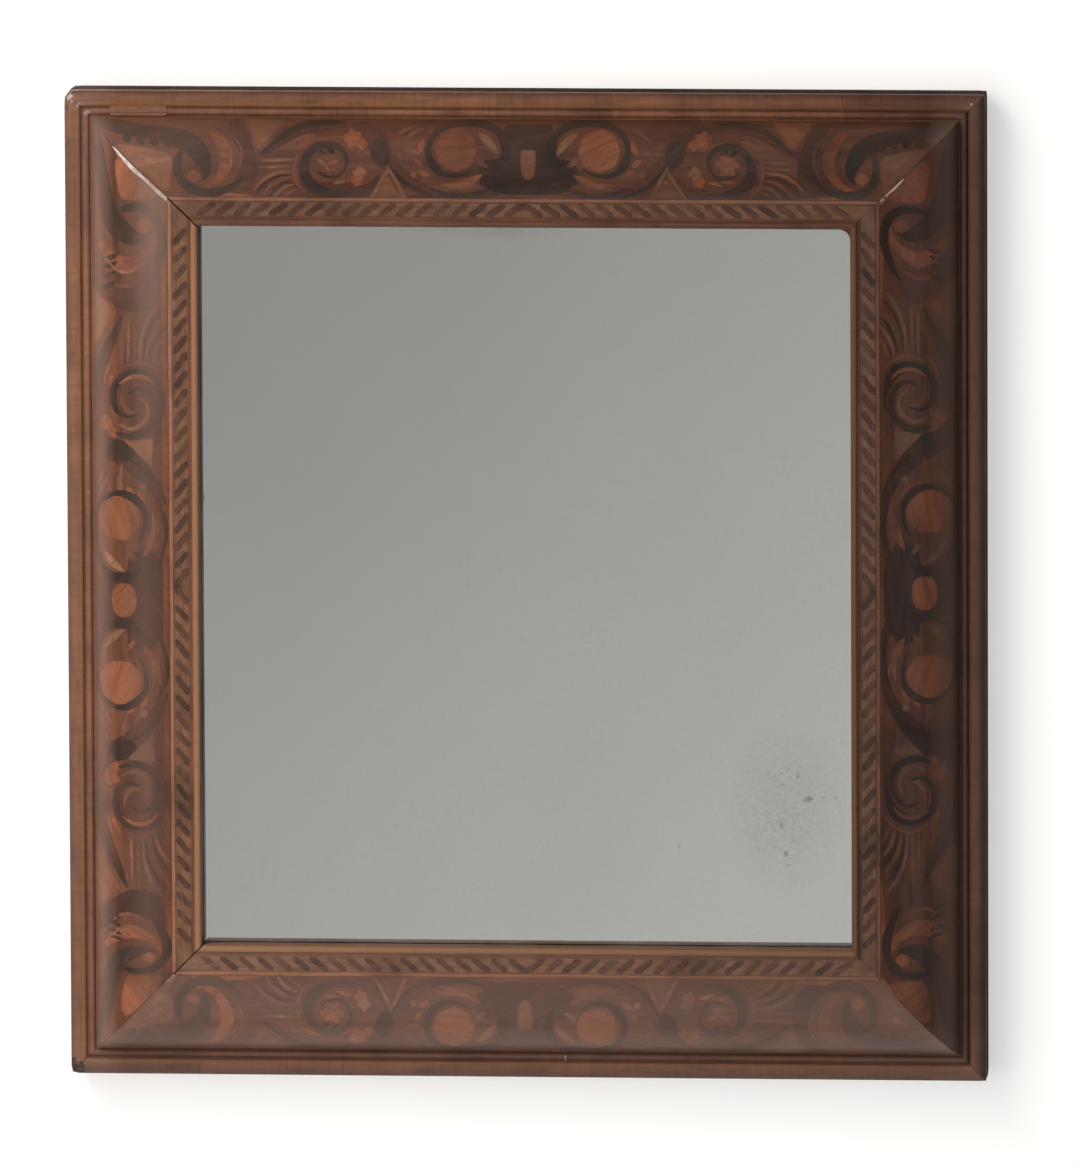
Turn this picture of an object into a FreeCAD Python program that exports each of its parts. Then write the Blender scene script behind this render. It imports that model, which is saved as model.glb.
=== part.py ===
# Wall mirror in a cushion frame: a half-round veneered moulding between an outer bead and a sight slip.
# Millimetres, +Z up, and the front faces -Y. The origin is the centre of the back face, which lies on
# the wall. A height is a distance out from the wall, and a depth is a distance in from the outer edge.
import FreeCAD, Part
import math
import os
from collections import namedtuple

import Sketcher

SIZES = {
    # Frame and its core
    "frame_width": 640.0,
    "frame_height": 692.0,
    "core_thick": 22.0,
    "side_band_thick": 3.0,
    "rebate_width": 11.0,
    "peg_radius": 4.0,
    "peg_offset": 18.0,
    # Outer moulding: a wide bead, a quirk, a small bead and a second quirk
    "outer_width": 18.6,
    "edge_rise": 4.0,
    "bead_width": 10.8,
    "bead_swell": 3.0,
    "quirk_width": 1.2,
    "quirk_rise": 2.0,
    "small_bead_swell": 2.4,
    # Cushion moulding and its veneer
    "cushion_width": 54.0,
    "foot_rise": 4.0,
    "crown_rise": 26.0,
    "crown_depth": 27.0,
    "shoulder_rise": 18.0,
    "veneer_thick": 2.0,
    # Sight slip with its two strings
    "slip_width": 20.4,
    "sight_rise": 15.0,
    "fillet_width": 5.0,
    "fillet_swell": 1.4,
    "string_width": 2.5,
    "string_thick": 2.5,
    "rope_margin": 0.8,
    "rope_width": 10.0,
    "rope_thick": 1.5,
    # Mirror plate and the blocks behind it
    "glass_thick": 3.0,
    "glass_clearance": 2.0,
    "silver_thick": 0.2,
    "block_length": 60.0,
    "block_size": 9.0,
    "block_reach": 130.0,
    # Backboards and their nails
    "board_thick": 8.0,
    "board_overlap": 22.0,
    "board_lap": 8.0,
    "board_gap": 0.6,
    "nail_inset": 10.0,
    "nail_spread": 55.0,
    "nail_side_reach": 140.0,
    "nail_length": 22.0,
    "nail_radius": 1.2,
    "nail_head_radius": 4.0,
    "nail_head_thick": 1.2,
    # Ring hangers on the back of the stiles
    "hanger_inset": 31.0,
    "hanger_height": 170.0,
    "strap_width": 12.0,
    "strap_length": 36.0,
    "strap_thick": 1.2,
    "ring_half_width": 11.0,
    "ring_corner": 4.0,
    "ring_leg": 10.0,
    "wire_radius": 1.5,
    "wire_clearance": 0.08,
    "ring_lift": 0.4,
    "screw_drop": 10.0,
    "screw_spacing": 19.0,
    "screw_radius": 1.5,
    "screw_length": 15.0,
    "screw_head_radius": 3.2,
    "screw_head_thick": 1.8,
}

ALONG_X = FreeCAD.Vector(1, 0, 0)
ALONG_Y = FreeCAD.Vector(0, 1, 0)
ALONG_Z = FreeCAD.Vector(0, 0, 1)
INTO_FRAME = FreeCAD.Rotation(ALONG_X, 90)
HALF_TURN = FreeCAD.Rotation(ALONG_Z, 180)
SHEET = "Sizes"
HAIR = 1e-6

doc = FreeCAD.newDocument("cushion_mirror")
pieces = []


class Size:
    """A length together with the sheet formula that gives it."""

    def __init__(self, value, formula):
        self.value = float(value)
        self.formula = formula

    def __add__(self, other):
        other = as_size(other)
        return Size(self.value + other.value, f"({self.formula} + {other.formula})")

    def __sub__(self, other):
        other = as_size(other)
        return Size(self.value - other.value, f"({self.formula} - {other.formula})")

    def __mul__(self, other):
        other = as_size(other)
        return Size(self.value * other.value, f"({self.formula} * {other.formula})")

    def __truediv__(self, other):
        other = as_size(other)
        return Size(self.value / other.value, f"({self.formula} / {other.formula})")

    def __neg__(self):
        return Size(-self.value, f"(-1 * {self.formula})")


def as_size(item):
    """A plain factor becomes a size whose formula is that number."""
    return item if isinstance(item, Size) else Size(item, str(item))


def root(size):
    """Square root of a size."""
    return Size(math.sqrt(size.value), f"sqrt({size.formula})")


def write_sheet():
    """Fills the sheet with the driving sizes and returns them by name."""
    sheet = doc.addObject("Spreadsheet::Sheet", SHEET)
    for row, (name, value) in enumerate(SIZES.items(), start=1):
        sheet.set(f"A{row}", name.replace("_", " "))
        sheet.set(f"B{row}", str(value))
        sheet.setAlias(f"B{row}", name)
    doc.recompute()
    return {name: Size(value, f"{SHEET}.{name}") for name, value in SIZES.items()}


given = write_sheet()
ZERO = as_size(0)

# Heights that the pieces share
core_back = given["board_thick"]
core_front = core_back + given["core_thick"]
core_middle = core_back + given["core_thick"] / 2
glass_front = core_front
glass_back = glass_front - given["glass_thick"]
silver_back = glass_back - given["silver_thick"]

# Depths that the pieces share
cushion_start = given["outer_width"]
cushion_end = cushion_start + given["cushion_width"]
sight_edge = cushion_end + given["slip_width"]
core_outer = given["side_band_thick"]
core_inner = sight_edge - given["rebate_width"]
core_width = core_inner - core_outer
board_edge = core_inner - given["board_overlap"]

# Half sizes of the frame and of what fills its opening
half_width = given["frame_width"] / 2
half_height = given["frame_height"] / 2
board_half_width = half_width - board_edge
board_half_height = half_height - board_edge
glass_half_width = half_width - core_inner - given["glass_clearance"]
glass_half_height = half_height - core_inner - given["glass_clearance"]

# A side's own frame lies at the middle of its outer edge: X runs along it, Y out from the wall, Z inwards.
Side = namedtuple("Side", "name turn length base_x base_z")
SIDES = [
    Side("bottom", 0, given["frame_width"], ZERO, -half_height),
    Side("left", 90, given["frame_height"], -half_width, ZERO),
    Side("top", 180, given["frame_width"], ZERO, half_height),
    Side("right", 270, given["frame_height"], half_width, ZERO),
]


def bind(item, field, size):
    """Ties one property of an object to the sheet."""
    item.setExpression(field, size.formula)


def place(item, x=ZERO, y=ZERO, z=ZERO, rotation=FreeCAD.Rotation()):
    """Ties the place of an object to the sheet."""
    item.Placement = FreeCAD.Placement(FreeCAD.Vector(x.value, y.value, z.value), rotation)
    for axis, size in (("x", x), ("y", y), ("z", z)):
        bind(item, f"Placement.Base.{axis}", size)


def keep(item, name):
    """Lists an object as a sub-part, under the name of its file."""
    item.Label = name
    pieces.append(item)
    return item


def new_body(name):
    """An empty body."""
    return doc.addObject("PartDesign::Body", name)


def new_sketch(body, plane, name):
    """A sketch on one of the body's own origin planes."""
    sketch = body.newObject("Sketcher::SketchObject", f"{body.Name}_{name}")
    origin_plane = next(item for item in body.Origin.OriginFeatures if item.Role == plane)
    sketch.AttachmentSupport = [(origin_plane, "")]
    sketch.MapMode = "FlatFace"
    return sketch


def fix(sketch, constraint, size):
    """Adds a dimension and ties it to the sheet."""
    index = sketch.addConstraint(constraint)
    bind(sketch, f"Constraints[{index}]", size)


def end_at(sketch, edge, spot):
    """Number of the edge's end that lies at the spot."""
    return 1 if sketch.getPoint(edge, 1).distanceToPoint(spot) < HAIR else 2


def arc_between(start, end, radius, towards):
    """Arc of under half a circle, which swells on the given side of its chord."""
    chord = end - start
    rise = radius - math.sqrt(radius**2 - (chord.Length / 2) ** 2)
    across = ALONG_Z.cross(chord).normalize()
    if across.dot(towards) < 0:
        across = across.negative()
    return Part.Arc(start, (start + end) * 0.5 + across * rise, end)


def draw_outline(sketch, corners, radii=None, towards=None):
    """Closed outline with each corner dimensioned from the origin.

    radii gives, by the number of the corner that it leaves, the radius of each stretch that is an arc.
    An arc swells in the direction given by towards, or else away from the middle of the outline.
    """
    radii = radii or {}
    first = sketch.GeometryCount
    spots = [FreeCAD.Vector(across.value, along.value, 0) for across, along in corners]
    middle = sum(spots, FreeCAD.Vector()) / len(spots)
    for number, start in enumerate(spots):
        end = spots[(number + 1) % len(spots)]
        if number in radii:
            edge = arc_between(start, end, radii[number].value, towards or start + end - middle * 2)
        else:
            edge = Part.LineSegment(start, end)
        sketch.addGeometry(edge, False)
    for number, (across, along) in enumerate(corners):
        edge = first + number
        before = first + (number - 1) % len(corners)
        here = end_at(sketch, edge, spots[number])
        there = end_at(sketch, before, spots[number])
        sketch.addConstraint(Sketcher.Constraint("Coincident", before, there, edge, here))
        fix(sketch, Sketcher.Constraint("DistanceX", -1, 1, edge, here, across.value), across)
        fix(sketch, Sketcher.Constraint("DistanceY", -1, 1, edge, here, along.value), along)
    for number, radius in radii.items():
        fix(sketch, Sketcher.Constraint("Radius", first + number, radius.value), radius)


def draw_circle(sketch, radius):
    """Circle round the sketch's origin."""
    circle = sketch.addGeometry(Part.Circle(FreeCAD.Vector(), ALONG_Z, radius.value), False)
    sketch.addConstraint(Sketcher.Constraint("Coincident", circle, 3, -1, 1))
    fix(sketch, Sketcher.Constraint("Radius", circle, radius.value), radius)


def rectangle(low_x, low_y, high_x, high_y):
    """Corners of a rectangle."""
    return [(low_x, low_y), (high_x, low_y), (high_x, high_y), (low_x, high_y)]


def add_pad(body, sketch, length):
    """Pads a sketch by half the length to each side of its plane."""
    pad = body.newObject("PartDesign::Pad", f"{sketch.Name}_pad")
    pad.Profile = sketch
    pad.SideType = "Symmetric"
    bind(pad, "Length", length)


def add_pocket(body, sketch):
    """Cuts a sketch right through the body, to both sides of its plane."""
    pocket = body.newObject("PartDesign::Pocket", f"{sketch.Name}_pocket")
    pocket.Profile = sketch
    pocket.SideType = "Symmetric"
    pocket.Type = "ThroughAll"


def place_on_side(body, side):
    """Turns a body from a side's own frame to its place on the mirror."""
    rotation = FreeCAD.Rotation(ALONG_Y, side.turn).multiply(HALF_TURN)
    place(body, x=side.base_x, z=side.base_z, rotation=rotation)


def add_box(name, x, y, z, length, width, height):
    """Box from its lowest corner and its sizes along X, Y and Z."""
    box = doc.addObject("Part::Box", name)
    bind(box, "Length", length)
    bind(box, "Width", width)
    bind(box, "Height", height)
    place(box, x, y, z)
    return box


def add_cylinder(name, x, y, z, radius, length):
    """Cylinder that runs from a spot towards the front."""
    cylinder = doc.addObject("Part::Cylinder", name)
    bind(cylinder, "Radius", radius)
    bind(cylinder, "Height", length)
    place(cylinder, x, y, z, INTO_FRAME)
    return cylinder


def join(name, *shapes):
    """One solid from shapes that overlap."""
    whole = doc.addObject("Part::MultiFuse", name)
    whole.Shapes = list(shapes)
    return whole


def group(name, shapes):
    """Separate solids in one object."""
    compound = doc.addObject("Part::Compound", name)
    compound.Links = list(shapes)
    return compound


def bored(name, base, tool):
    """A piece with the room that its fixings take up."""
    cut = doc.addObject("Part::Cut", name)
    cut.Base = base
    cut.Tool = tool
    return cut


def crown_arc_radius(run, drop):
    """Radius of an arc that starts level at the crown and drops by drop over run."""
    return (run * run + drop * drop) / (drop * 2)


def bead_radius(width, swell):
    """Radius of an arc from its chord and its rise."""
    return (width * width / 4 + swell * swell) / (swell * 2)


def moulding(kind, side, corners, radii=None):
    """One mitred length of a moulding, from its section as heights and depths."""
    body = new_body(f"{kind}_{side.name}")
    section = new_sketch(body, "YZ_Plane", "section")
    draw_outline(section, corners, radii, towards=ALONG_X)
    add_pad(body, section, side.length)
    mitres = new_sketch(body, "XZ_Plane", "mitres")
    half = side.length / 2
    draw_outline(mitres, [(half, ZERO), (half, sight_edge), (half - sight_edge, sight_edge)])
    draw_outline(mitres, [(-half, ZERO), (-half, sight_edge), (sight_edge - half, sight_edge)])
    add_pocket(body, mitres)
    place_on_side(body, side)
    return keep(body, f"{kind}_{side.name}")


def side_band(side):
    """Facing strip on the outer edge of the core."""
    moulding("side_band", side, rectangle(core_back, ZERO, core_front, core_outer))


def outer_moulding(side):
    """Wide bead at the outer edge and a small one beside the cushion."""
    edge = core_front + given["edge_rise"]
    quirk = core_front + given["quirk_rise"]
    bead_end = given["bead_width"]
    small_start = bead_end + given["quirk_width"]
    small_end = cushion_start - given["quirk_width"]
    corners = [
        (core_front, ZERO),
        (edge, ZERO),
        (edge, bead_end),
        (quirk, bead_end),
        (quirk, small_start),
        (quirk, small_end),
        (quirk, cushion_start),
        (core_front, cushion_start),
    ]
    radii = {
        1: bead_radius(given["bead_width"], given["bead_swell"]),
        4: bead_radius(small_end - small_start, given["small_bead_swell"]),
    }
    moulding("outer_moulding", side, corners, radii)


def cushion(side):
    """Half-round core of the cushion and the marquetry veneer over it, which ends square to the curve."""
    crown = core_front + given["crown_rise"]
    crown_at = cushion_start + given["crown_depth"]
    foot = core_front + given["foot_rise"]
    shoulder = core_front + given["shoulder_rise"]
    outer_radius = crown_arc_radius(crown_at - cushion_start, crown - foot)
    inner_radius = crown_arc_radius(cushion_end - crown_at, crown - shoulder)
    thick = given["veneer_thick"]
    outer_share = thick / outer_radius
    inner_share = thick / inner_radius
    veneer_foot = (
        foot + (crown - outer_radius - foot) * outer_share,
        cushion_start + (crown_at - cushion_start) * outer_share,
    )
    veneer_shoulder = (
        shoulder + (crown - inner_radius - shoulder) * inner_share,
        cushion_end + (crown_at - cushion_end) * inner_share,
    )
    core_corners = [
        (core_front, cushion_start),
        (foot, cushion_start),
        veneer_foot,
        (crown - thick, crown_at),
        veneer_shoulder,
        (shoulder, cushion_end),
        (core_front, cushion_end),
    ]
    moulding("cushion", side, core_corners, {2: outer_radius - thick, 3: inner_radius - thick})
    veneer_corners = [
        (foot, cushion_start),
        (crown, crown_at),
        (shoulder, cushion_end),
        veneer_shoulder,
        (crown - thick, crown_at),
        veneer_foot,
    ]
    veneer_radii = {0: outer_radius, 1: inner_radius, 3: inner_radius - thick, 4: outer_radius - thick}
    moulding("marquetry", side, veneer_corners, veneer_radii)


def sight_slip(side):
    """Sloping slip that holds the glass, with the light string and the rope string let into it."""
    shoulder = core_front + given["shoulder_rise"]
    sight = core_front + given["sight_rise"]
    string_seat = shoulder - given["string_thick"]
    string_end = cushion_end + given["string_width"]
    fillet_start = sight_edge - given["fillet_width"]
    fall = shoulder - sight
    run = fillet_start - string_end
    slope = root(fall * fall + run * run)

    def on_slope(distance, sunk):
        """A spot along the slope from the string's edge, sunk square to its face."""
        return (
            shoulder - fall * distance / slope - run * sunk / slope,
            string_end + run * distance / slope - fall * sunk / slope,
        )

    rope_start = given["rope_margin"]
    rope_end = rope_start + given["rope_width"]
    rope_seat = given["rope_thick"]
    rope_corners = [
        on_slope(rope_start, ZERO),
        on_slope(rope_start, rope_seat),
        on_slope(rope_end, rope_seat),
        on_slope(rope_end, ZERO),
    ]
    slip_corners = [
        (core_front, cushion_end),
        (string_seat, cushion_end),
        (string_seat, string_end),
        (shoulder, string_end),
        *rope_corners,
        (sight, fillet_start),
        (sight, sight_edge),
        (core_front, sight_edge),
    ]
    moulding("sight_slip", side, slip_corners, {8: bead_radius(given["fillet_width"], given["fillet_swell"])})
    moulding("light_string", side, rectangle(string_seat, cushion_end, shoulder, string_end))
    moulding("rope_string", side, rope_corners)


def core_member(side, kind, lap_low, lap_high, fixings):
    """Straight core member with half its height cut away at both ends for the corner laps."""
    name = f"{kind}_{side.name}"
    body = new_body(f"{name}_blank")
    section = new_sketch(body, "YZ_Plane", "section")
    draw_outline(section, rectangle(core_back, core_outer, core_front, core_inner))
    add_pad(body, section, side.length - core_outer * 2)
    laps = new_sketch(body, "XY_Plane", "laps")
    end = side.length / 2 - core_outer
    draw_outline(laps, rectangle(end - core_width, lap_low, end, lap_high))
    draw_outline(laps, rectangle(-end, lap_low, core_width - end, lap_high))
    add_pocket(body, laps)
    place_on_side(body, side)
    keep(bored(name, body, fixings), name)


def lap_pegs():
    """Two pegs through each corner lap, set on its diagonal."""
    pegs = []
    lap_x = half_width - core_outer - core_width / 2
    lap_z = half_height - core_outer - core_width / 2
    for side_x in (-1, 1):
        for side_z in (-1, 1):
            for step in (-1, 1):
                x = (lap_x + given["peg_offset"] * step) * side_x
                z = (lap_z + given["peg_offset"] * step) * side_z
                pegs.append(add_cylinder("peg", x, -core_back, z, given["peg_radius"], given["core_thick"]))
    return keep(group("lap_pegs", pegs), "lap_pegs")


def nail(x, z):
    """Nail with a flat head, driven in from the back and set flush."""
    shank = add_cylinder("nail_shank", x, ZERO, z, given["nail_radius"], given["nail_length"])
    head = add_cylinder("nail_head", x, ZERO, z, given["nail_head_radius"], given["nail_head_thick"])
    return join("nail", shank, head)


def backboard_nails():
    """Nails along the ends of the boards and down their outer edges."""
    end_z = board_half_height - given["nail_inset"]
    edge_x = board_half_width - given["nail_inset"]
    board_pitch = board_half_width * 2 / 3
    nails = []
    for side_z in (-1, 1):
        for board in (-1, 0, 1):
            for step in (-1, 1):
                nails.append(nail(board_pitch * board + given["nail_spread"] * step, end_z * side_z))
        for side_x in (-1, 1):
            nails.append(nail(edge_x * side_x, given["nail_side_reach"] * side_z))
    return keep(group("backboard_nails", nails), "backboard_nails")


def backboards(nails):
    """Three upright boards whose edges lap over one another."""
    half_thick = given["board_thick"] / 2
    back = ZERO
    front = -given["board_thick"]
    middle = -half_thick
    seam = board_half_width / 3
    lapped = seam - given["board_lap"]
    gap = given["board_gap"]
    sections = {
        "backboard_left": [
            (-board_half_width, back),
            (-seam - gap, back),
            (-seam - gap, middle),
            (-lapped - gap, middle),
            (-lapped - gap, front),
            (-board_half_width, front),
        ],
        "backboard_centre": [
            (-seam, back),
            (seam, back),
            (seam, middle),
            (lapped, middle),
            (lapped, front),
            (-lapped, front),
            (-lapped, middle),
            (-seam, middle),
        ],
        "backboard_right": [
            (board_half_width, back),
            (seam + gap, back),
            (seam + gap, middle),
            (lapped + gap, middle),
            (lapped + gap, front),
            (board_half_width, front),
        ],
    }
    for name, corners in sections.items():
        body = new_body(f"{name}_blank")
        section = new_sketch(body, "XY_Plane", "section")
        draw_outline(section, corners)
        add_pad(body, section, board_half_height * 2)
        keep(bored(name, body, nails), name)


def mirror_plate():
    """Glass plate behind the sight slip and the silvering on its back."""
    width = glass_half_width * 2
    height = glass_half_height * 2
    for name, front, thick in (
        ("mirror_glass", glass_front, given["glass_thick"]),
        ("mirror_silvering", glass_back, given["silver_thick"]),
    ):
        plate = add_box(name, -glass_half_width, -front, -glass_half_height, width, thick, height)
        keep(plate, name)


def glazing_blocks():
    """Two glued blocks on each side, which hold the plate against the slip."""
    size = given["block_size"]
    length = given["block_length"]
    seat_x = half_width - core_inner
    seat_z = half_height - core_inner
    blocks = []
    for step in (-1, 1):
        start = given["block_reach"] * step - length / 2
        for low_z in (-seat_z, seat_z - size):
            blocks.append(add_box("block", start, -silver_back, low_z, length, size, size))
        for low_x in (-seat_x, seat_x - size):
            blocks.append(add_box("block", low_x, -silver_back, start, size, size, length))
    keep(group("glazing_blocks", blocks), "glazing_blocks")


hanger_x = half_width - given["hanger_inset"]
hanger_z = given["hanger_height"]
axis_lift = given["strap_thick"] + given["ring_lift"] + given["wire_radius"]
axis_y = axis_lift - core_back
HANGERS = (("left", -hanger_x), ("right", hanger_x))


def hanger_screws():
    """Two countersunk screws through each strap."""
    strap_face = given["strap_thick"] - core_back
    screws = []
    for _, x in HANGERS:
        for number in range(2):
            z = hanger_z - given["screw_drop"] - given["screw_spacing"] * number
            shank = add_cylinder("screw_shank", x, strap_face, z, given["screw_radius"], given["screw_length"])
            head = doc.addObject("Part::Cone", "screw_head")
            bind(head, "Radius1", given["screw_head_radius"])
            bind(head, "Radius2", given["screw_radius"])
            bind(head, "Height", given["screw_head_thick"])
            place(head, x, strap_face, z, INTO_FRAME)
            screws.append(join("screw", shank, head))
    return keep(group("hanger_screws", screws), "hanger_screws")


def hanger_strap(side_name, x, screws):
    """Strap that is rolled round the ring's bar at its upper end and screwed to the stile below it."""
    name = f"hanger_strap_{side_name}"
    bore = given["wire_radius"] + given["wire_clearance"]
    body = new_body(f"{name}_blank")
    flat = new_sketch(body, "YZ_Plane", "flat")
    face = given["strap_thick"] - axis_lift
    draw_outline(flat, rectangle(-axis_lift, -given["strap_length"], face, ZERO))
    add_pad(body, flat, given["strap_width"])
    roll = new_sketch(body, "YZ_Plane", "roll")
    draw_circle(roll, bore + given["strap_thick"])
    add_pad(body, roll, given["strap_width"])
    eye = new_sketch(body, "YZ_Plane", "eye")
    draw_circle(eye, bore)
    add_pocket(body, eye)
    place(body, x, axis_y, hanger_z)
    keep(bored(name, body, screws), name)


def hanger_ring(side_name, x):
    """D-shaped wire ring that hangs from its straight bar."""
    name = f"hanger_ring_{side_name}"
    half = given["ring_half_width"]
    corner = given["ring_corner"]
    leg = given["ring_leg"]
    body = new_body(name)
    path = new_sketch(body, "XZ_Plane", "path")
    corners = [
        (ZERO, ZERO),
        (half - corner, ZERO),
        (half, -corner),
        (half, -leg),
        (ZERO, -leg - half),
        (-half, -leg),
        (-half, -corner),
        (corner - half, ZERO),
    ]
    draw_outline(path, corners, {1: corner, 3: half, 4: half, 6: corner})
    wire = new_sketch(body, "YZ_Plane", "wire")
    draw_circle(wire, given["wire_radius"])
    pipe = body.newObject("PartDesign::AdditivePipe", f"{name}_pipe")
    pipe.Profile = wire
    pipe.Spine = path
    place(body, x, axis_y, hanger_z)
    keep(body, name)


def check_and_export():
    """Stops on any object that failed, then writes one file for each sub-part."""
    doc.recompute()
    for item in doc.Objects:
        if "Invalid" in item.State or "Error" in item.State:
            raise RuntimeError(f"{item.Name} failed: {item.State}")
    for item in pieces:
        if item.Shape.isNull() or not item.Shape.isValid():
            raise RuntimeError(f"{item.Label} has no valid shape")
    os.makedirs("parts", exist_ok=True)
    for item in pieces:
        item.Shape.exportStep(f"parts/{item.Label}.step")
        print(item.Label, len(item.Shape.Solids), round(item.Shape.Volume, 1))


pegs = lap_pegs()
nails = backboard_nails()
screws = hanger_screws()
core_fixings = group("core_fixings", [pegs, nails, screws])
for side in SIDES:
    if side.name in ("top", "bottom"):
        core_member(side, "core_rail", core_back, core_middle, core_fixings)
    else:
        core_member(side, "core_stile", core_middle, core_front, core_fixings)
    side_band(side)
    outer_moulding(side)
    cushion(side)
    sight_slip(side)
mirror_plate()
glazing_blocks()
backboards(nails)
for side_name, x in HANGERS:
    hanger_strap(side_name, x, screws)
    hanger_ring(side_name, x)
check_and_export()
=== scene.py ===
"""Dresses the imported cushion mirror: veneered mouldings, marquetry, rope string, mirror plate and back.

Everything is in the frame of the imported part, in metres. Sizes named here are millimetres. A height is a
distance out from the wall, a depth is a distance in from the outer edge, and a run is a distance along a
side from its middle.
"""

import logging
import math
import random
from dataclasses import dataclass, field
from enum import Enum
from functools import cached_property
from typing import Callable, Sequence

import bpy
import numpy as np
from bpy.types import ID, Material, Mesh, Node, NodeSocket, NodeTree, Object
from mathutils import Matrix, Quaternion, Vector, noise
from mathutils.geometry import delaunay_2d_cdt


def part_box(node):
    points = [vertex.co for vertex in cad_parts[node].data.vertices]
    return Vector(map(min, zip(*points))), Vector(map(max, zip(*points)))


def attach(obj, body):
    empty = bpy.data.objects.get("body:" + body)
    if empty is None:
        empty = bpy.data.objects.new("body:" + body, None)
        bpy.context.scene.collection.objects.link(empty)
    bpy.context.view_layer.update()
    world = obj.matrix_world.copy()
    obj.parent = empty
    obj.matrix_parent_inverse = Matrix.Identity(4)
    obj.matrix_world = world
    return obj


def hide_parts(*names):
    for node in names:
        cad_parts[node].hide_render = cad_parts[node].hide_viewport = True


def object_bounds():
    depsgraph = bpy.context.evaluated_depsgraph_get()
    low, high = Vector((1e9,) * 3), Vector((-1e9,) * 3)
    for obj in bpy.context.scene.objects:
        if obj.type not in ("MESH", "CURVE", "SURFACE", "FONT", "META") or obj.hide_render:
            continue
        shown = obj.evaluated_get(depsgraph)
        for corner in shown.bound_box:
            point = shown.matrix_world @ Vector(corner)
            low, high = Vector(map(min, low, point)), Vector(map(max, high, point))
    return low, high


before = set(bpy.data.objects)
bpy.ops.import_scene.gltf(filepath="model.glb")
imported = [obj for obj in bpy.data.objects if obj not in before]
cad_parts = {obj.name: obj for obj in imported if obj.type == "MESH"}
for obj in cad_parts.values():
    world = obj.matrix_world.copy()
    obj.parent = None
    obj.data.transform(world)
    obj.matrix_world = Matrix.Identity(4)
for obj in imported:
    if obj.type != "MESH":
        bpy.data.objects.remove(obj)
CAD_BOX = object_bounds()

LOG = logging.getLogger("cushion_mirror")
MM = 0.001
FRAME_BODY = "frame"
FLAT_MAP = "flat"
TONE = "tone"
EDGE = "edge"
WEAR = "wear"

Flat = tuple[float, float]
Spot = tuple[float, float, float]
Colour = tuple[int, int, int]
Measure = Callable[[float, Flat], float]
Inputs = dict[str | int, object]

HALF_WIDTH = (CAD_BOX[1].x - CAD_BOX[0].x) / 2 / MM
HALF_HEIGHT = (CAD_BOX[1].z - CAD_BOX[0].z) / 2 / MM
CORE_BACK = -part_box("core_rail_top")[1].y / MM
CORE_FRONT = -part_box("core_rail_top")[0].y / MM


def linear(colour: Colour) -> tuple[float, float, float, float]:
    """Turns a screen colour of 0 to 255 into the linear colour that a socket takes.

    Args:
        colour: Red, green and blue as a screen shows them.

    Returns:
        Linear red, green, blue and an alpha of 1.
    """
    parts = [c / 255 for c in colour]
    return (*[p / 12.92 if p <= 0.04045 else ((p + 0.055) / 1.055) ** 2.4 for p in parts], 1.0)


def smooth_step(value: float) -> float:
    """Eases a value from 0 to 1."""
    held = min(1.0, max(0.0, value))
    return held * held * (3 - 2 * held)


class Side(Enum):
    """A side of the frame, with its direction along and its direction outwards, in X and Z."""

    TOP = ((1, 0), (0, 1))
    RIGHT = ((0, -1), (1, 0))
    BOTTOM = ((-1, 0), (0, -1))
    LEFT = ((0, 1), (-1, 0))

    @property
    def label(self) -> str:
        """Name of the side as the nodes use it."""
        return self.name.lower()

    @property
    def upright(self) -> bool:
        """Whether the side is a stile."""
        return self in (Side.LEFT, Side.RIGHT)


TOP, RIGHT, BOTTOM, LEFT = Side


class Hand(Enum):
    """The half of a side that a motif or a strand belongs to."""

    BEFORE = -1
    AFTER = 1


@dataclass(frozen=True)
class CornerWear:
    """How far the four outer corners are worn round, and how the planed faces wander."""

    usual: float = 1.4
    upper_left: float = 7.5
    lower_left: float = 4.0
    ripple: float = 0.22
    ripple_length: float = 70.0
    ripple_start: float = 4.0
    ripple_layer: float = 3.0

    def radius(self, x: float, z: float) -> float:
        """Worn radius of the corner that a spot is nearest to."""
        if x > 0:
            return self.usual
        return self.upper_left if z > 0 else self.lower_left

    def rounded(self, x: float, z: float) -> Flat:
        """Pulls a spot that lies outside a worn corner back onto it.

        Args:
            x: Place across the frame.
            z: Place up the frame.

        Returns:
            The place of the spot on the worn frame.
        """
        radius = self.radius(x, z)
        over_x = abs(x) - (HALF_WIDTH - radius)
        over_z = abs(z) - (HALF_HEIGHT - radius)
        reach = math.hypot(over_x, over_z)
        if over_x <= 0 or over_z <= 0 or reach <= radius:
            return x, z
        share = radius / reach
        new_x = HALF_WIDTH - radius + over_x * share
        new_z = HALF_HEIGHT - radius + over_z * share
        return math.copysign(new_x, x), math.copysign(new_z, z)

    def wander(self, x: float, z: float, height: float) -> float:
        """Small rise or fall of a planed face at a spot."""
        grown = smooth_step((height - CORE_FRONT) / self.ripple_start)
        spot = Vector((x / self.ripple_length, z / self.ripple_length, self.ripple_layer))
        return self.ripple * grown * noise.noise(spot)


CORNER_WEAR = CornerWear()


def placed(name: str, data: ID) -> Object:
    """New object of the scene."""
    made = bpy.data.objects.new(name, data)
    bpy.context.scene.collection.objects.link(made)
    return made


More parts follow.
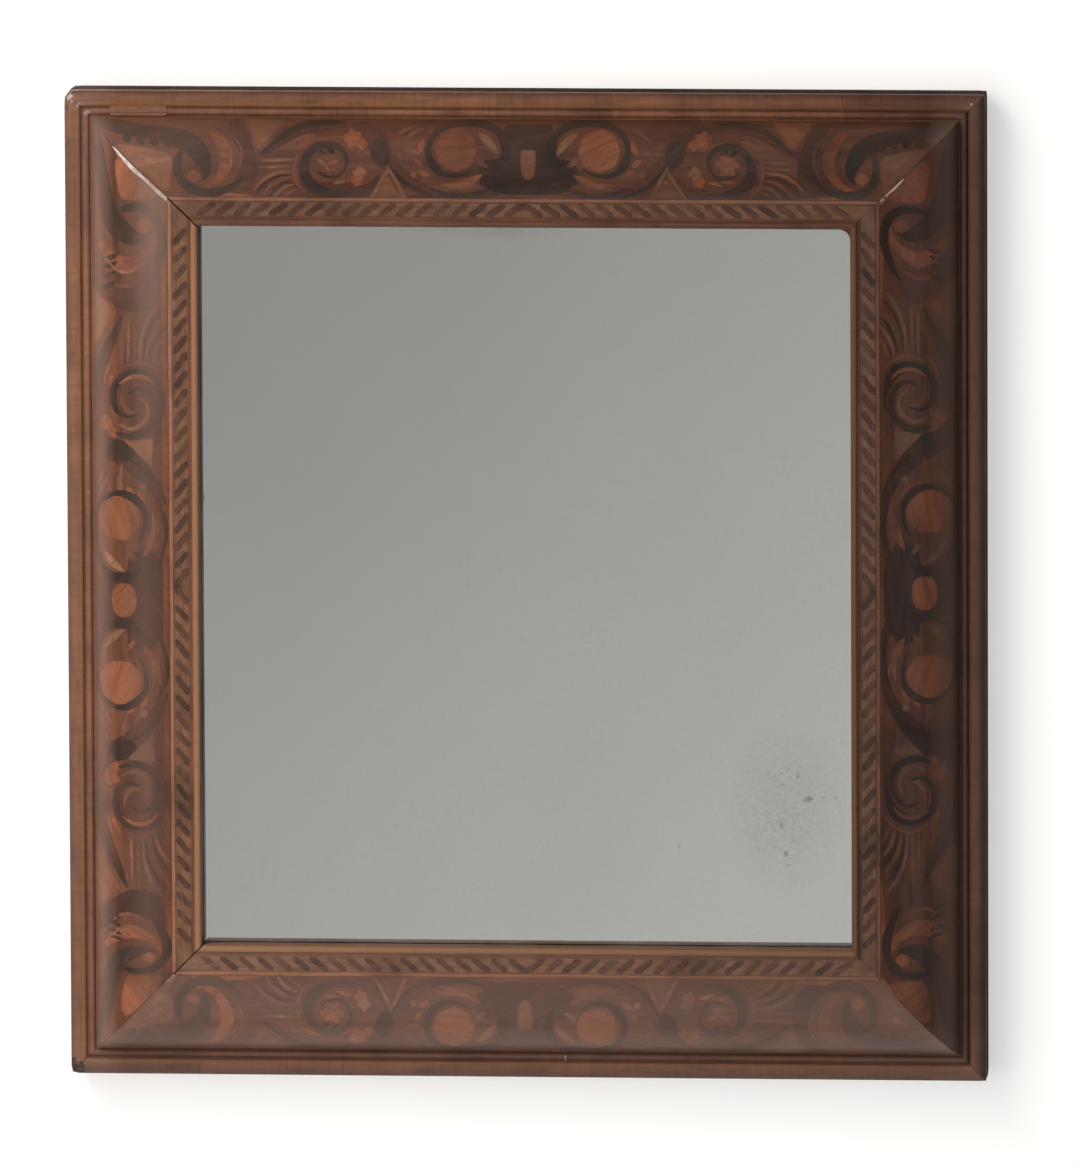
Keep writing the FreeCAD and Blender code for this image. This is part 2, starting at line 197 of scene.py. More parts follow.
@dataclass
class Shell:
    """Closed mesh in the making: places, faces, a flat map for each face corner, and values at the places."""

    places: list[Spot] = field(default_factory=list)
    faces: list[tuple[int, ...]] = field(default_factory=list)
    flat: list[list[Flat]] = field(default_factory=list)
    values: dict[str, list[float]] = field(default_factory=dict)

    def outward(self) -> "Shell":
        """Turns the faces so that they point out of the closed shell."""
        fans = [(face[0], near, far) for face in self.faces for near, far in zip(face[1:], face[2:])]
        corners = np.array(self.places)[np.array(fans)]
        volume = np.sum(corners[:, 0] * np.cross(corners[:, 1], corners[:, 2]))
        if volume < 0:
            self.faces = [face[::-1] for face in self.faces]
            self.flat = [corners[::-1] for corners in self.flat]
        return self

    def add(self, other: "Shell") -> None:
        """Takes in the places and faces of another shell.

        Args:
            other: A shell with the same kinds of values.
        """
        start = len(self.places)
        self.places += other.places
        self.faces += [tuple(k + start for k in face) for face in other.faces]
        self.flat += other.flat
        for name, values in other.values.items():
            self.values.setdefault(name, []).extend(values)

    def piece(self, name: str, finish: "Finish", crease: float = 40.0) -> Object:
        """Makes the shell an object of the scene.

        Args:
            name: Name of the piece.
            finish: Its finish.
            crease: Angle in degrees past which an edge stays sharp.

        Returns:
            The new object.
        """
        mesh = bpy.data.meshes.new(name)
        mesh.from_pydata(self.places, [], self.faces)
        layer = mesh.uv_layers.new(name=FLAT_MAP)
        corners = [corner for face in self.flat for corner in face]
        layer.data.foreach_set("uv", np.array(corners, np.float32).ravel())
        for label, values in self.values.items():
            attribute = mesh.attributes.new(label, "FLOAT", "POINT")
            attribute.data.foreach_set("value", np.array(values, np.float32))
        mesh.shade_smooth()
        mesh.set_sharp_from_angle(angle=math.radians(crease))
        mesh.materials.append(finish.material)
        return placed(name, mesh)

    def settle(self, name: str, finish: "Finish", slot: str, *nodes: str) -> None:
        """Makes the shell a piece of the frame."""
        settle(self.piece(name, finish), slot, *nodes)


def settle(piece: Object, slot: str, *nodes: str) -> None:
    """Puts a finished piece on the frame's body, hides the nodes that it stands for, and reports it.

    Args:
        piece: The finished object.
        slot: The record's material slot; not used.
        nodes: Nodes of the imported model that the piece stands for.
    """
    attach(piece, FRAME_BODY)
    if nodes:
        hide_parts(*nodes)
    LOG.info("%s: %d faces on %s", piece.name, len(piece.data.polygons), FRAME_BODY)


def dress_node(node: str, finish: "Finish") -> None:
    """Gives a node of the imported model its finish.

    Args:
        node: Name of the node.
        finish: The finish.
    """
    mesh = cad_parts[node].data
    mesh.materials.clear()
    mesh.materials.append(finish.material)
    LOG.info("%s: finished as %s", node, finish.material.name)


def arc_radius(run: float, drop: float) -> float:
    """Radius of an arc that is level at its crown and falls by a drop over a run."""
    return (run * run + drop * drop) / (2 * drop)


def bead(start: Flat, end: Flat, swell: float, steps: int) -> list[Flat]:
    """Spots on an arc that rises over a chord, as (depth, height), without its start.

    Args:
        start: Where the arc starts.
        end: Where it ends.
        swell: How far it rises over the middle of its chord.
        steps: How many spots to give.

    Returns:
        The spots, the end among them.
    """
    half = (end[0] - start[0]) / 2
    radius = arc_radius(half, swell)
    opening = math.asin(min(1.0, half / radius))
    spots = []
    for number in range(1, steps + 1):
        share = number / steps
        angle = -opening + 2 * opening * share
        chord = start[1] + (end[1] - start[1]) * share
        rise = radius * math.cos(angle) - (radius - swell)
        spots.append((start[0] + half + radius * math.sin(angle), chord + rise))
    return spots


def eased(corners: Sequence[Flat], radius: float, steps: int = 3) -> list[Flat]:
    """Rounds the corners of a closed outline.

    Args:
        corners: The outline's corners in order.
        radius: How far from each corner the rounding starts.
        steps: How many spots take the place of a corner.

    Returns:
        The rounded outline.
    """
    spots = []
    for number, corner in enumerate(corners):
        here = Vector(corner)
        before = Vector(corners[number - 1]) - here
        after = Vector(corners[(number + 1) % len(corners)]) - here
        start = here + before.normalized() * min(radius, before.length * 0.4)
        end = here + after.normalized() * min(radius, after.length * 0.4)
        for step in range(steps + 1):
            share = step / steps
            first = start.lerp(here, share)
            second = here.lerp(end, share)
            spots.append(tuple(first.lerp(second, share)))
    return spots


def filled(outline: Sequence[Flat], pitch: float, fit: Callable[[float], int] = math.ceil) -> list[Flat]:
    """Adds spots along the edges of a closed outline.

    Args:
        outline: The outline's corners in order.
        pitch: Distance from spot to spot.
        fit: Makes a whole number of pitches.

    Returns:
        The spots, the corners among them.
    """
    spots = []
    for number, corner in enumerate(outline):
        start, end = Vector(outline[number - 1]), Vector(corner)
        pieces = max(1, fit((end - start).length / pitch))
        spots += [tuple(start.lerp(end, k / pieces)) for k in range(1, pieces + 1)]
    return spots


def sweep(
    corners: Sequence[Flat],
    half: Callable[[Flat], float],
    place: Callable[[float, Flat], Spot],
    pitch: float = 5.0,
    wear: Measure | None = None,
) -> Shell:
    """Runs a closed outline along a straight length.

    Args:
        corners: The outline's spots in order.
        half: Gives half the length at a spot of the outline, so that mitres can cut it.
        place: Gives the place in metres of a spot of the outline at a run.
        pitch: Distance from one station to the next.
        wear: Gives how worn the piece is at a run and a spot, if it is.

    Returns:
        The closed shell, mapped along and round its length.
    """
    count = len(corners)
    stations = max(2, math.ceil(2 * max(half(c) for c in corners) / pitch) + 1)
    girth = [0.0]
    for number in range(count):
        step = Vector(corners[(number + 1) % count]) - Vector(corners[number])
        girth.append(girth[-1] + step.length)
    shell = Shell()
    runs = []
    for station in range(stations):
        share = -1 + 2 * station / (stations - 1)
        for corner in corners:
            runs.append(share * half(corner))
            shell.places.append(place(runs[-1], corner))
    if wear:
        shell.values[WEAR] = [wear(run, corners[k % count]) for k, run in enumerate(runs)]
    for station in range(stations - 1):
        for number in range(count):
            following = (number + 1) % count
            near, far = station * count, (station + 1) * count
            face = (near + number, far + number, far + following, near + following)
            rounds = (girth[number], girth[number], girth[number + 1], girth[number + 1])
            shell.faces.append(face)
            shell.flat.append([(runs[k] * MM, around * MM) for k, around in zip(face, rounds)])
    for cap in (range(count - 1, -1, -1), range((stations - 1) * count, stations * count)):
        shell.faces.append(tuple(cap))
        shell.flat.append([(corners[k % count][0] * MM, corners[k % count][1] * MM) for k in cap])
    return shell.outward()


def slab(
    over: list[Spot], under: list[Spot], faces: Sequence[Sequence[int]], flat: Sequence[Flat]
) -> tuple[Shell, set[int]]:
    """Closes an open sheet with its underside and the rim between them.

    Args:
        over: Places of the sheet.
        under: Places under them.
        faces: Faces of the sheet.
        flat: The sheet's spots on its flat map.

    Returns:
        The closed shell, and the numbers of the sheet's places that lie on the rim.
    """
    count = len(over)
    sides = dict.fromkeys(pair for face in faces for pair in zip(face, [*face[1:], face[0]]))
    rim = [(near, far) for near, far in sides if (far, near) not in sides]
    shell = Shell(over + under, [tuple(face) for face in faces])
    shell.faces += [tuple(k + count for k in reversed(face)) for face in faces]
    shell.faces += [(far, near, near + count, far + count) for near, far in rim]
    shell.flat = [[flat[k % count] for k in face] for face in shell.faces]
    return shell.outward(), {k for pair in rim for k in pair}


def close_rings(shell: Shell, rings: int, sides: int) -> Shell:
    """Joins rings of places into a closed shell with flat ends.

    Args:
        shell: Shell whose places lie ring after ring.
        rings: How many rings there are.
        sides: How many places each ring has.

    Returns:
        The closed shell.
    """
    for near in range(0, (rings - 1) * sides, sides):
        for k in range(sides):
            after = (k + 1) % sides
            shell.faces.append((near + k, near + after, near + sides + after, near + sides + k))
    shell.faces.append(tuple(range(sides - 1, -1, -1)))
    shell.faces.append(tuple(range((rings - 1) * sides, rings * sides)))
    shell.flat = [[(shell.places[k][0], shell.places[k][2]) for k in face] for face in shell.faces]
    return shell.outward()


def turned(
    rings: Sequence[Flat], radius: float, sides: int, waver: Callable[[float], float] = lambda angle: 1.0
) -> Shell:
    """Round fixing about the Y axis.

    Args:
        rings: How deep each ring lies, and its share of the radius.
        radius: The full radius.
        sides: How many places a ring has.
        waver: Gives the share that is left of the radius at an angle.

    Returns:
        The closed shell.
    """
    shell = Shell()
    for depth, share in rings:
        for k in range(sides):
            angle = 2 * math.pi * k / sides
            reach = radius * share * waver(angle)
            shell.places.append((reach * math.cos(angle) * MM, -depth * MM, reach * math.sin(angle) * MM))
    return close_rings(shell, len(rings), sides)


@dataclass(frozen=True)
class Rail:
    """One side of the frame as a place for mouldings, which the mitres cut with a hair of a gap."""

    side: Side
    opening: float = 0.0
    gap: float = 0.12

    @property
    def half_length(self) -> float:
        """Half the length of the outer edge."""
        return HALF_HEIGHT if self.side.upright else HALF_WIDTH

    @property
    def reach(self) -> float:
        """Distance from the middle of the frame to the outer edge."""
        return HALF_WIDTH if self.side.upright else HALF_HEIGHT

    def mitre(self, depth: float) -> float:
        """Run at which the mitre cuts a given depth."""
        return self.half_length - depth

    def spot(self, run: float, depth: float, height: float) -> Spot:
        """Place in metres of a spot on this side.

        Args:
            run: Distance along the side from its middle.
            depth: Distance in from the outer edge.
            height: Distance out from the wall.

        Returns:
            The place, with the wear of the corner and the wander of the planed face.
        """
        along, out = self.side.value
        x = along[0] * run + out[0] * (self.reach - depth)
        z = along[1] * run + out[1] * (self.reach - depth)
        new_x, new_z = CORNER_WEAR.rounded(x, z)
        return new_x * MM, -(height + CORNER_WEAR.wander(x, z, height)) * MM, new_z * MM

    def opened(self, run: float) -> float:
        """Run of a spot once the far end has shrunk away from its mitre."""
        return run - self.opening * max(0.0, run) / self.half_length

    def shell(self, outline: Sequence[Flat], wear: Measure | None = None) -> Shell:
        """Sweeps an outline of (depth, height) spots along the side.

        Args:
            outline: The section of the moulding.
            wear: Gives how worn it is at a run and a spot.

        Returns:
            The mitred shell.
        """
        return sweep(
            outline,
            lambda corner: self.mitre(corner[0]) - self.gap,
            lambda run, corner: self.spot(self.opened(run), *corner),
            wear=wear,
        )

    def lay(
        self, name: str, finish: "Finish", slot: str, outline: Sequence[Flat], wear: Measure | None = None
    ) -> None:
        """Makes a moulding that stands for this side's node of its slot."""
        label = self.side.label
        self.shell(outline, wear).settle(f"{name}_{label}", finish, slot, f"{slot}_{label}")


class Space(Enum):
    """Coordinates that a finish reads."""

    FLAT = "UV"
    OBJECT = "Object"


class Tree:
    """Builder for a node tree."""

    def __init__(self, tree: NodeTree) -> None:
        """Takes the tree that the nodes go into."""
        self.tree = tree

    def feed(self, socket: NodeSocket, value: object) -> None:
        """Links a socket to an output, or sets its value."""
        if isinstance(value, NodeSocket):
            self.tree.links.new(value, socket)
        else:
            socket.default_value = value

    def node(self, kind: str, inputs: Inputs | None = None, **settings: object) -> Node:
        """Adds a node.

        Args:
            kind: The node's type.
            inputs: Values or outputs for its sockets.
            settings: Values for its own properties.

        Returns:
            The new node.
        """
        made = self.tree.nodes.new(kind)
        for key, value in settings.items():
            setattr(made, key, value)
        for key, value in (inputs or {}).items():
            self.feed(made.inputs[key], value)
        return made

    def out(self, kind: str, inputs: Inputs, **settings: object) -> NodeSocket:
        """First output of a new node."""
        return self.node(kind, inputs, **settings).outputs[0]

    def maths(self, action: str, first: object, *others: object) -> NodeSocket:
        """Arithmetic that takes in one value after another."""
        for other in others or (0.0,):
            first = self.out("ShaderNodeMath", {0: first, 1: other}, operation=action)
        return first

    def times(self, *factors: object) -> NodeSocket:
        """Product of values."""
        return self.maths("MULTIPLY", *factors)

    def plus(self, *parts: object) -> NodeSocket:
        """Sum of values."""
        return self.maths("ADD", *parts)

    def most(self, *values: object) -> NodeSocket:
        """Highest of some values."""
        return self.maths("MAXIMUM", *values)


class Graph(Tree):
    """Builder for the node tree of one finish."""

    def __init__(self, name: str) -> None:
        """Makes the material with its shader."""
        self.material = bpy.data.materials.new(name)
        self.material.use_nodes = True
        super().__init__(self.material.node_tree)
        self.shader = self.tree.nodes["Principled BSDF"]

    def coords(
        self, space: Space = Space.OBJECT, scale: Spot = (1, 1, 1), shift: Spot = (0, 0, 0)
    ) -> NodeSocket:
        """Coordinates of the piece, scaled and then shifted."""
        source = self.node("ShaderNodeTexCoord").outputs[space.value]
        return self.out("ShaderNodeMapping", {"Vector": source, "Scale": scale, "Location": shift})

    def parts(self, vector: NodeSocket) -> dict[str, NodeSocket]:
        """Coordinates one by one."""
        return self.node("ShaderNodeSeparateXYZ", {"Vector": vector}).outputs

    def noise(
        self, scale: float, detail: float = 4.0, distortion: float = 0.0, vector: NodeSocket | None = None
    ) -> NodeSocket:
        """Noise from 0 to 1, on the object's coordinates if no others are given."""
        vector = self.coords() if vector is None else vector
        inputs = {"Vector": vector, "Scale": scale, "Detail": detail, "Distortion": distortion}
        return self.node("ShaderNodeTexNoise", inputs).outputs["Fac"]

    def cells(self, vector: NodeSocket, scale: float) -> NodeSocket:
        """Distance to the nearest of many scattered points."""
        return self.node("ShaderNodeTexVoronoi", {"Vector": vector, "Scale": scale}).outputs["Distance"]

    def ramp(self, value: NodeSocket, stops: Sequence[tuple[float, Colour]]) -> NodeSocket:
        """Colour that runs through the given stops."""
        made = self.node("ShaderNodeValToRGB", {"Fac": value})
        marks = made.color_ramp.elements
        while len(marks) < len(stops):
            marks.new(0.5)
        for mark, (position, colour) in zip(marks, stops):
            mark.position = position
            mark.color = linear(colour)
        return made.outputs["Color"]

    def level(
        self, value: NodeSocket, low: float, high: float, start: float = 0.0, end: float = 1.0
    ) -> NodeSocket:
        """Stretches a value from one range to another, held at the ends."""
        inputs = {"Value": value, "From Min": low, "From Max": high, "To Min": start, "To Max": end}
        return self.node("ShaderNodeMapRange", inputs).outputs["Result"]

    def mix(self, first: object, second: object, share: object, mode: str = "MIX") -> NodeSocket:
        """Mixes two colours, each a screen colour or an output."""
        first, second = (linear(c) if isinstance(c, tuple) else c for c in (first, second))
        inputs = {0: share, 6: first, 7: second}
        return self.node("ShaderNodeMix", inputs, data_type="RGBA", blend_type=mode).outputs[2]

    def tint(self, colour: NodeSocket, other: Colour, *band: object, mode: str = "MIX") -> NodeSocket:
        """Mixes in another colour by a band: a value, where it sets in, where it is full, and the most."""
        return self.mix(colour, other, self.total(band), mode)

    def shade(self, colour: NodeSocket, other: Colour, *band: object) -> NodeSocket:
        """Darkens a colour by another where a value sets in."""
        return self.tint(colour, other, *band, mode="MULTIPLY")

    def value(self, name: str) -> NodeSocket:
        """A value that the mesh carries."""
        return self.node("ShaderNodeAttribute", attribute_name=name).outputs["Fac"]

    def spot(self, centre: Flat, radii: Flat) -> NodeSocket:
        """A round mask on the frame, 1 at its centre and 0 past its edge, in millimetres across and up."""
        scale = (1 / radii[0] / MM, 0, 1 / radii[1] / MM)
        moved = self.coords(scale=scale, shift=(-centre[0] / radii[0], 0, -centre[1] / radii[1]))
        length = self.node("ShaderNodeVectorMath", {0: moved}, operation="LENGTH")
        return self.level(length.outputs["Value"], 0.0, 1.0, 1.0, 0.0)

    def on_side(self, side: Side, x: NodeSocket, z: NodeSocket) -> NodeSocket:
        """Tells the pieces of one side from the others.

        Args:
            side: The side.
            x: Place across, in metres.
            z: Place up, in metres.

        Returns:
            1 on that side up to its mitres, and 0 on the others.
        """
        edge = (HALF_HEIGHT - HALF_WIDTH) * MM
        soft = -0.0005 if side.upright else 0.0005
        rising = 1.0 if side in (LEFT, TOP) else -1.0
        falling = 1.0 if side in (LEFT, BOTTOM) else -1.0
        shares = []
        for action, sign in (("ADD", rising), ("SUBTRACT", falling)):
            value = self.times(self.maths(action, x, z), sign)
            shares.append(self.level(value, edge - soft, edge + soft))
        return self.times(*shares)

    def total(self, *bands: tuple[NodeSocket, float, float, float]) -> NodeSocket:
        """Adds up shares, each of which sets in from one value to another and has a most."""
        shares = [self.level(value, low, high, 0.0, most) for value, low, high, most in bands]
        return self.plus(*shares) if len(shares) > 1 else shares[0]

    def aged(
        self,
        colour: NodeSocket,
        upper: float = 0.3,
        lower: float = 0.0,
        bloom: float = 1.0,
        start: float = -0.22,
        depth: float = 1.0,
    ) -> NodeSocket:
        """Darkens a colour towards the right and along the top and the bottom, and mixes in a painted sheen
        that stands in for reflected light.

        Args:
            colour: The colour of the wood.
            upper: Share of the deepening along the top; it is full at the right.
            lower: Share of the deepening along the bottom.
            bloom: Share of the painted sheen.
            start: Place across, in metres, from which the colour deepens.
            depth: Share of all the deepening.

        Returns:
            The darkened colour with its painted sheen.
        """
        place = self.parts(self.coords())
        x, z = place["X"], place["Z"]
        left, right, high, low = (self.on_side(side, x, z) for side in (LEFT, RIGHT, TOP, BOTTOM))
        across = self.plus(self.level(x, start, 0.29, 0.0, 0.7), self.times(right, 0.3))
        ends = self.times(self.level(x, -0.31, -0.2), self.level(x, -0.05, 0.25, 1.0, 0.3))
        ends = self.most(ends, self.level(x, 0.24, 0.28))
        up = self.times(self.level(z, 0.22, 0.27, 0.0, upper), ends)
        share = self.maths("MINIMUM", self.plus(across, up), 1.0)
        share = self.most(share, self.times(low, lower))
        deep = self.mix(colour, (158, 149, 140), self.times(share, depth), "MULTIPLY")
        # Painted reflection: a grey sheen along the bottom and on the inner slope of the left side
        slope = self.total((x, -0.242, -0.252, 0.4), (x, -0.264, -0.276, -0.4))
        grey = self.plus(self.times(low, 0.4), self.times(left, slope))
        sheened = self.mix(deep, (105, 82, 72), self.times(grey, bloom))
        # Painted reflection: a paler sheen at the feet of the cushion, on the upper left and at the left end
        # of the top
        foot_sheen = self.total(
            (z, -0.304, -0.322, 0.1),
            (x, -0.284, -0.298, 0.38),
            (x, 0.28, 0.297, 0.2),
            (z, 0.304, 0.322, 0.06),
        )
        slope = self.total((x, -0.24, -0.25, 0.42), (x, -0.257, -0.271, -0.4))
        corner = self.times(self.level(z, 0.06, 0.24), slope, left)
        dust = self.times(high, self.level(x, -0.15, -0.24, 0.0, 0.08))
        return self.mix(sheened, (150, 121, 109), self.times(self.plus(foot_sheen, corner, dust), bloom))

    def bump(self, height: NodeSocket, rise: float, strength: float = 1.0) -> None:
        """Raises the surface by a height of at most rise millimetres."""
        inputs = {"Height": height, "Distance": rise * MM, "Strength": strength}
        self.feed(self.shader.inputs["Normal"], self.node("ShaderNodeBump", inputs).outputs["Normal"])

    def finish(self, **inputs: object) -> Material:
        """Sets the shader's sockets by their names, with underscores for spaces, and gives the material."""
        for key, value in inputs.items():
            self.feed(self.shader.inputs[key.replace("_", " ")], value)
        return self.material


@dataclass(frozen=True)
class Veneer:
    """Varnished veneer with its grain along the flat map, a tone for each piece and burnt edges."""

    name: str
    dark: Colour
    middle: Colour
    light: Colour
    burnt: Colour = (44, 30, 24)
    burn: float = 0.3
    streaks: Flat = (16.0, 150.0)
    gloss: float = 0.4
    shine: float = 0.42
    # Colour where the mesh's wear value is set: on the ground veneer, pale worn wood with a painted highlight
    # along the mitres; on the slip, its lighter bead
    worn: Colour = (226, 200, 172)
    worn_from: Flat = (0.34, 0.52)
    # Share of the painted sheen, which stands in for reflected light
    bloom: float = 1.0
    depth: float = 1.0

    def material(self) -> Material:
        """Builds the finish."""
        graph = Graph(self.name)
        tone = graph.value(TONE)
        shift = graph.out("ShaderNodeCombineXYZ", {"Z": graph.times(tone, 37.0)})
        flat = graph.coords(Space.FLAT, (*self.streaks, 1))
        grain = graph.node("ShaderNodeVectorMath", {0: flat, 1: shift}, operation="ADD").outputs["Vector"]
        pores = graph.noise(7.0, 2.0, vector=grain)
        grime = graph.noise(24.0, 5.0, 0.4)
        figure = graph.noise(1.0, 6.0, 0.8, grain)
        wood = graph.ramp(figure, ((0.28, self.dark), (0.5, self.middle), (0.74, self.light)))
        wood = graph.shade(wood, (90, 80, 76), pores, 0.56, 0.72, 0.45)
        cast = graph.ramp(tone, ((0.0, (196, 190, 190)), (0.5, (255, 250, 246)), (1.0, (255, 232, 214))))
        wood = graph.mix(wood, cast, 0.8, "MULTIPLY")
        wood = graph.shade(wood, (104, 88, 80), grime, 0.5, 0.8, 0.7)
        wood = graph.mix(wood, self.burnt, graph.times(graph.value(EDGE), self.burn))
        wear = graph.times(graph.value(WEAR), graph.level(graph.noise(240.0, 3.0), *self.worn_from))
        # Darker towards the right and along the top, with the painted sheen of reflected light mixed in
        wood = graph.aged(graph.mix(wood, self.worn, wear), bloom=self.bloom, depth=self.depth)
        graph.bump(graph.plus(pores, graph.times(grime, 2.0)), 0.12, 0.5)
        rough = graph.level(grime, 0.3, 0.75, self.gloss - 0.08, self.gloss + 0.16)
        return graph.finish(Base_Color=wood, Roughness=rough, Specular_IOR_Level=self.shine)


# Knocks on the outer bead: centre and reach in millimetres across and up, and the bared colour; the
# near-black one at the lower left corner is painted shade that stands in for a chipped notch
BEAD_CHIPS = (
    ((-315.5, 341.0), (4.0, 5.0), (172, 164, 158)),
    ((-310.0, 336.0), (3.6, 3.6), (152, 134, 126)),
    ((-304.5, 330.5), (3.4, 3.4), (146, 124, 114)),
    ((-318.0, 334.0), (2.4, 5.0), (70, 62, 60)),
    ((311.0, 340.0), (1.8, 1.6), (158, 128, 116)),
    ((-318.0, -343.0), (14.0, 15.0), (34, 26, 24)),
    ((26.0, -332.0), (1.6, 4.0), (176, 152, 138)),
)


@dataclass(frozen=True)
class CrossBand:
    """Short lengths of veneer with the grain across, butted along a bead."""

    name: str
    dark: Colour
    light: Colour
    joint: Colour = (52, 33, 25)
    segment: float = 86.0
    gloss: float = 0.48
    shine: float = 0.42
    chips: tuple[tuple[Flat, Flat, Colour], ...] = ()

    def material(self) -> Material:
        """Builds the finish."""
        graph = Graph(self.name)
        along = graph.parts(graph.coords(Space.FLAT))["X"]
        lengths = graph.maths("DIVIDE", along, self.segment * MM)
        warped = graph.plus(lengths, graph.times(graph.noise(3.0, 1.0), 2.5))
        number = graph.maths("FLOOR", warped)
        choice = graph.node("ShaderNodeTexWhiteNoise", {"W": number}, noise_dimensions="1D").outputs["Value"]
        grain = graph.noise(1.0, 5.0, 0.5, graph.coords(Space.FLAT, (420, 26, 1)))
        mottle = graph.noise(1.0, 4.0, 0.6, graph.coords(Space.FLAT, (34, 150, 1)))
        grime = graph.noise(30.0, 5.0, 0.3)
        nicks = graph.noise(300.0, 3.0)
        dirt = graph.value(WEAR)
        wood = graph.ramp(grain, ((0.3, self.dark), (0.7, self.light)))
        cast = graph.ramp(choice, ((0.0, (216, 208, 204)), (0.55, (232, 224, 216)), (1.0, (246, 236, 224))))
        wood = graph.mix(wood, cast, 1.0, "MULTIPLY")
        wood = graph.shade(wood, (120, 96, 86), mottle, 0.46, 0.75, 0.45)
        seam = graph.maths("LESS_THAN", graph.maths("FRACT", warped), 0.012)
        wood = graph.mix(wood, self.joint, graph.times(seam, 0.3))
        wood = graph.shade(wood, (110, 92, 84), grime, 0.52, 0.8, 0.5)
        wood = graph.tint(wood, (190, 150, 122), nicks, 0.69, 0.76, 0.4)
        # Painted shading on the bead: darker where the value is above 0, partly grime and partly painted
        # shade, and lighter where it is below 0, a painted light against the quirks' shadow
        wood = graph.shade(wood, (150, 140, 134), dirt, 0.0, 1.0, 0.7)
        wood = graph.tint(wood, (184, 132, 98), dirt, 0.0, -1.0, 0.34)
        # Darker towards the right and along the bottom, with a little painted sheen of reflected light
        wood = graph.aged(wood, 0.1, 0.6, 0.3, -0.06)
        for centre, radii, bare in self.chips:
            ragged = graph.plus(graph.spot(centre, radii), graph.level(nicks, 0.3, 0.7, -0.45, 0.25))
            wood = graph.tint(wood, bare, ragged, 0.3, 0.6, 0.85)
        graph.bump(graph.plus(grain, graph.times(grime, 2.0)), 0.15, 0.45)
        rough = graph.level(mottle, 0.3, 0.75, self.gloss - 0.08, self.gloss + 0.14)
        return graph.finish(Base_Color=wood, Roughness=rough, Specular_IOR_Level=self.shine)


class Grain(Enum):
    """Direction that the grain of a solid piece runs in, as stretches of the object's coordinates."""

    ALONG_X = (1.9, 40.0, 34.0)
    ALONG_Z = (34.0, 40.0, 1.9)


@dataclass(frozen=True)
class Softwood:
    """Bare old pine with growth rings, knots, dusty patches and handling stains."""

    name: str
    grain: Grain
    early: Colour = (158, 118, 80)
    late: Colour = (128, 88, 56)
    dust: Colour = (128, 112, 96)
    stain: Colour = (70, 48, 34)

    def material(self) -> Material:
        """Builds the finish."""
        graph = Graph(self.name)
        stretched = graph.coords(scale=self.grain.value)
        crosswise = graph.coords(scale=tuple(45 / s for s in self.grain.value))
        bands = graph.maths("FRACT", graph.times(graph.noise(0.8, 1.0, 0.3, stretched), 15.0))
        fibre = graph.noise(12.0, vector=stretched)
        saw = graph.noise(40.0, 2.0, vector=crosswise)
        cloud = graph.noise(7.0, 5.0, 0.6)
        knots = graph.cells(graph.coords(scale=(1, 0.2, 0.6)), 9.0)
        stops = ((0.0, self.early), (0.35, self.early), (0.92, self.late), (1.0, self.early))
        wood = graph.ramp(bands, stops)
        wood = graph.shade(wood, (206, 190, 176), fibre, 0.4, 0.7, 0.6)
        wood = graph.tint(wood, (74, 44, 28), knots, 0.1, 0.03, 0.75)
        wood = graph.tint(wood, self.stain, cloud, 0.52, 0.82, 0.75)
        wood = graph.tint(wood, self.dust, cloud, 0.5, 0.25, 0.45)
        graph.bump(graph.plus(bands, fibre, saw), 0.25, 0.5)
        rough = graph.level(fibre, 0.3, 0.7, 0.62, 0.82)
        return graph.finish(Base_Color=wood, Roughness=rough, Specular_IOR_Level=0.3)


@dataclass(frozen=True)
class Metal:
    """Old metal with its bare colour, and a patina that lies in clouds over it."""

    name: str
    bare: Colour
    patina: Colour
    cover: Flat = (0.42, 0.66)
    metallic: float = 1.0
    rough: Flat = (0.28, 0.6)

    def material(self) -> Material:
        """Builds the finish."""
        graph = Graph(self.name)
        cloud = graph.noise(190.0, 6.0, 0.4)
        share = graph.level(cloud, *self.cover)
        colour = graph.mix(self.bare, self.patina, share)
        graph.bump(graph.plus(graph.noise(1500.0, 3.0), cloud), 0.08, 0.6)
        bright = graph.maths("SUBTRACT", self.metallic, graph.times(share, 0.55 * self.metallic))
        rough = graph.level(cloud, *self.cover, *self.rough)
        return graph.finish(Base_Color=colour, Metallic=bright, Roughness=rough)


@dataclass(frozen=True)
class PlateGlass:
    """Old blown plate: clear, faintly grey-green and not quite flat."""

    name: str = "plate_glass"
    tint: Colour = (250, 252, 249)

    def material(self) -> Material:
        """Builds the finish."""
        graph = Graph(self.name)
        graph.bump(graph.noise(9.0, 1.0), 0.3, 0.05)
        rough = graph.level(graph.noise(60.0, 5.0), 0.4, 0.8, 0.0, 0.04)
        return graph.finish(Base_Color=linear(self.tint), Roughness=rough, IOR=1.5, Transmission_Weight=1.0)


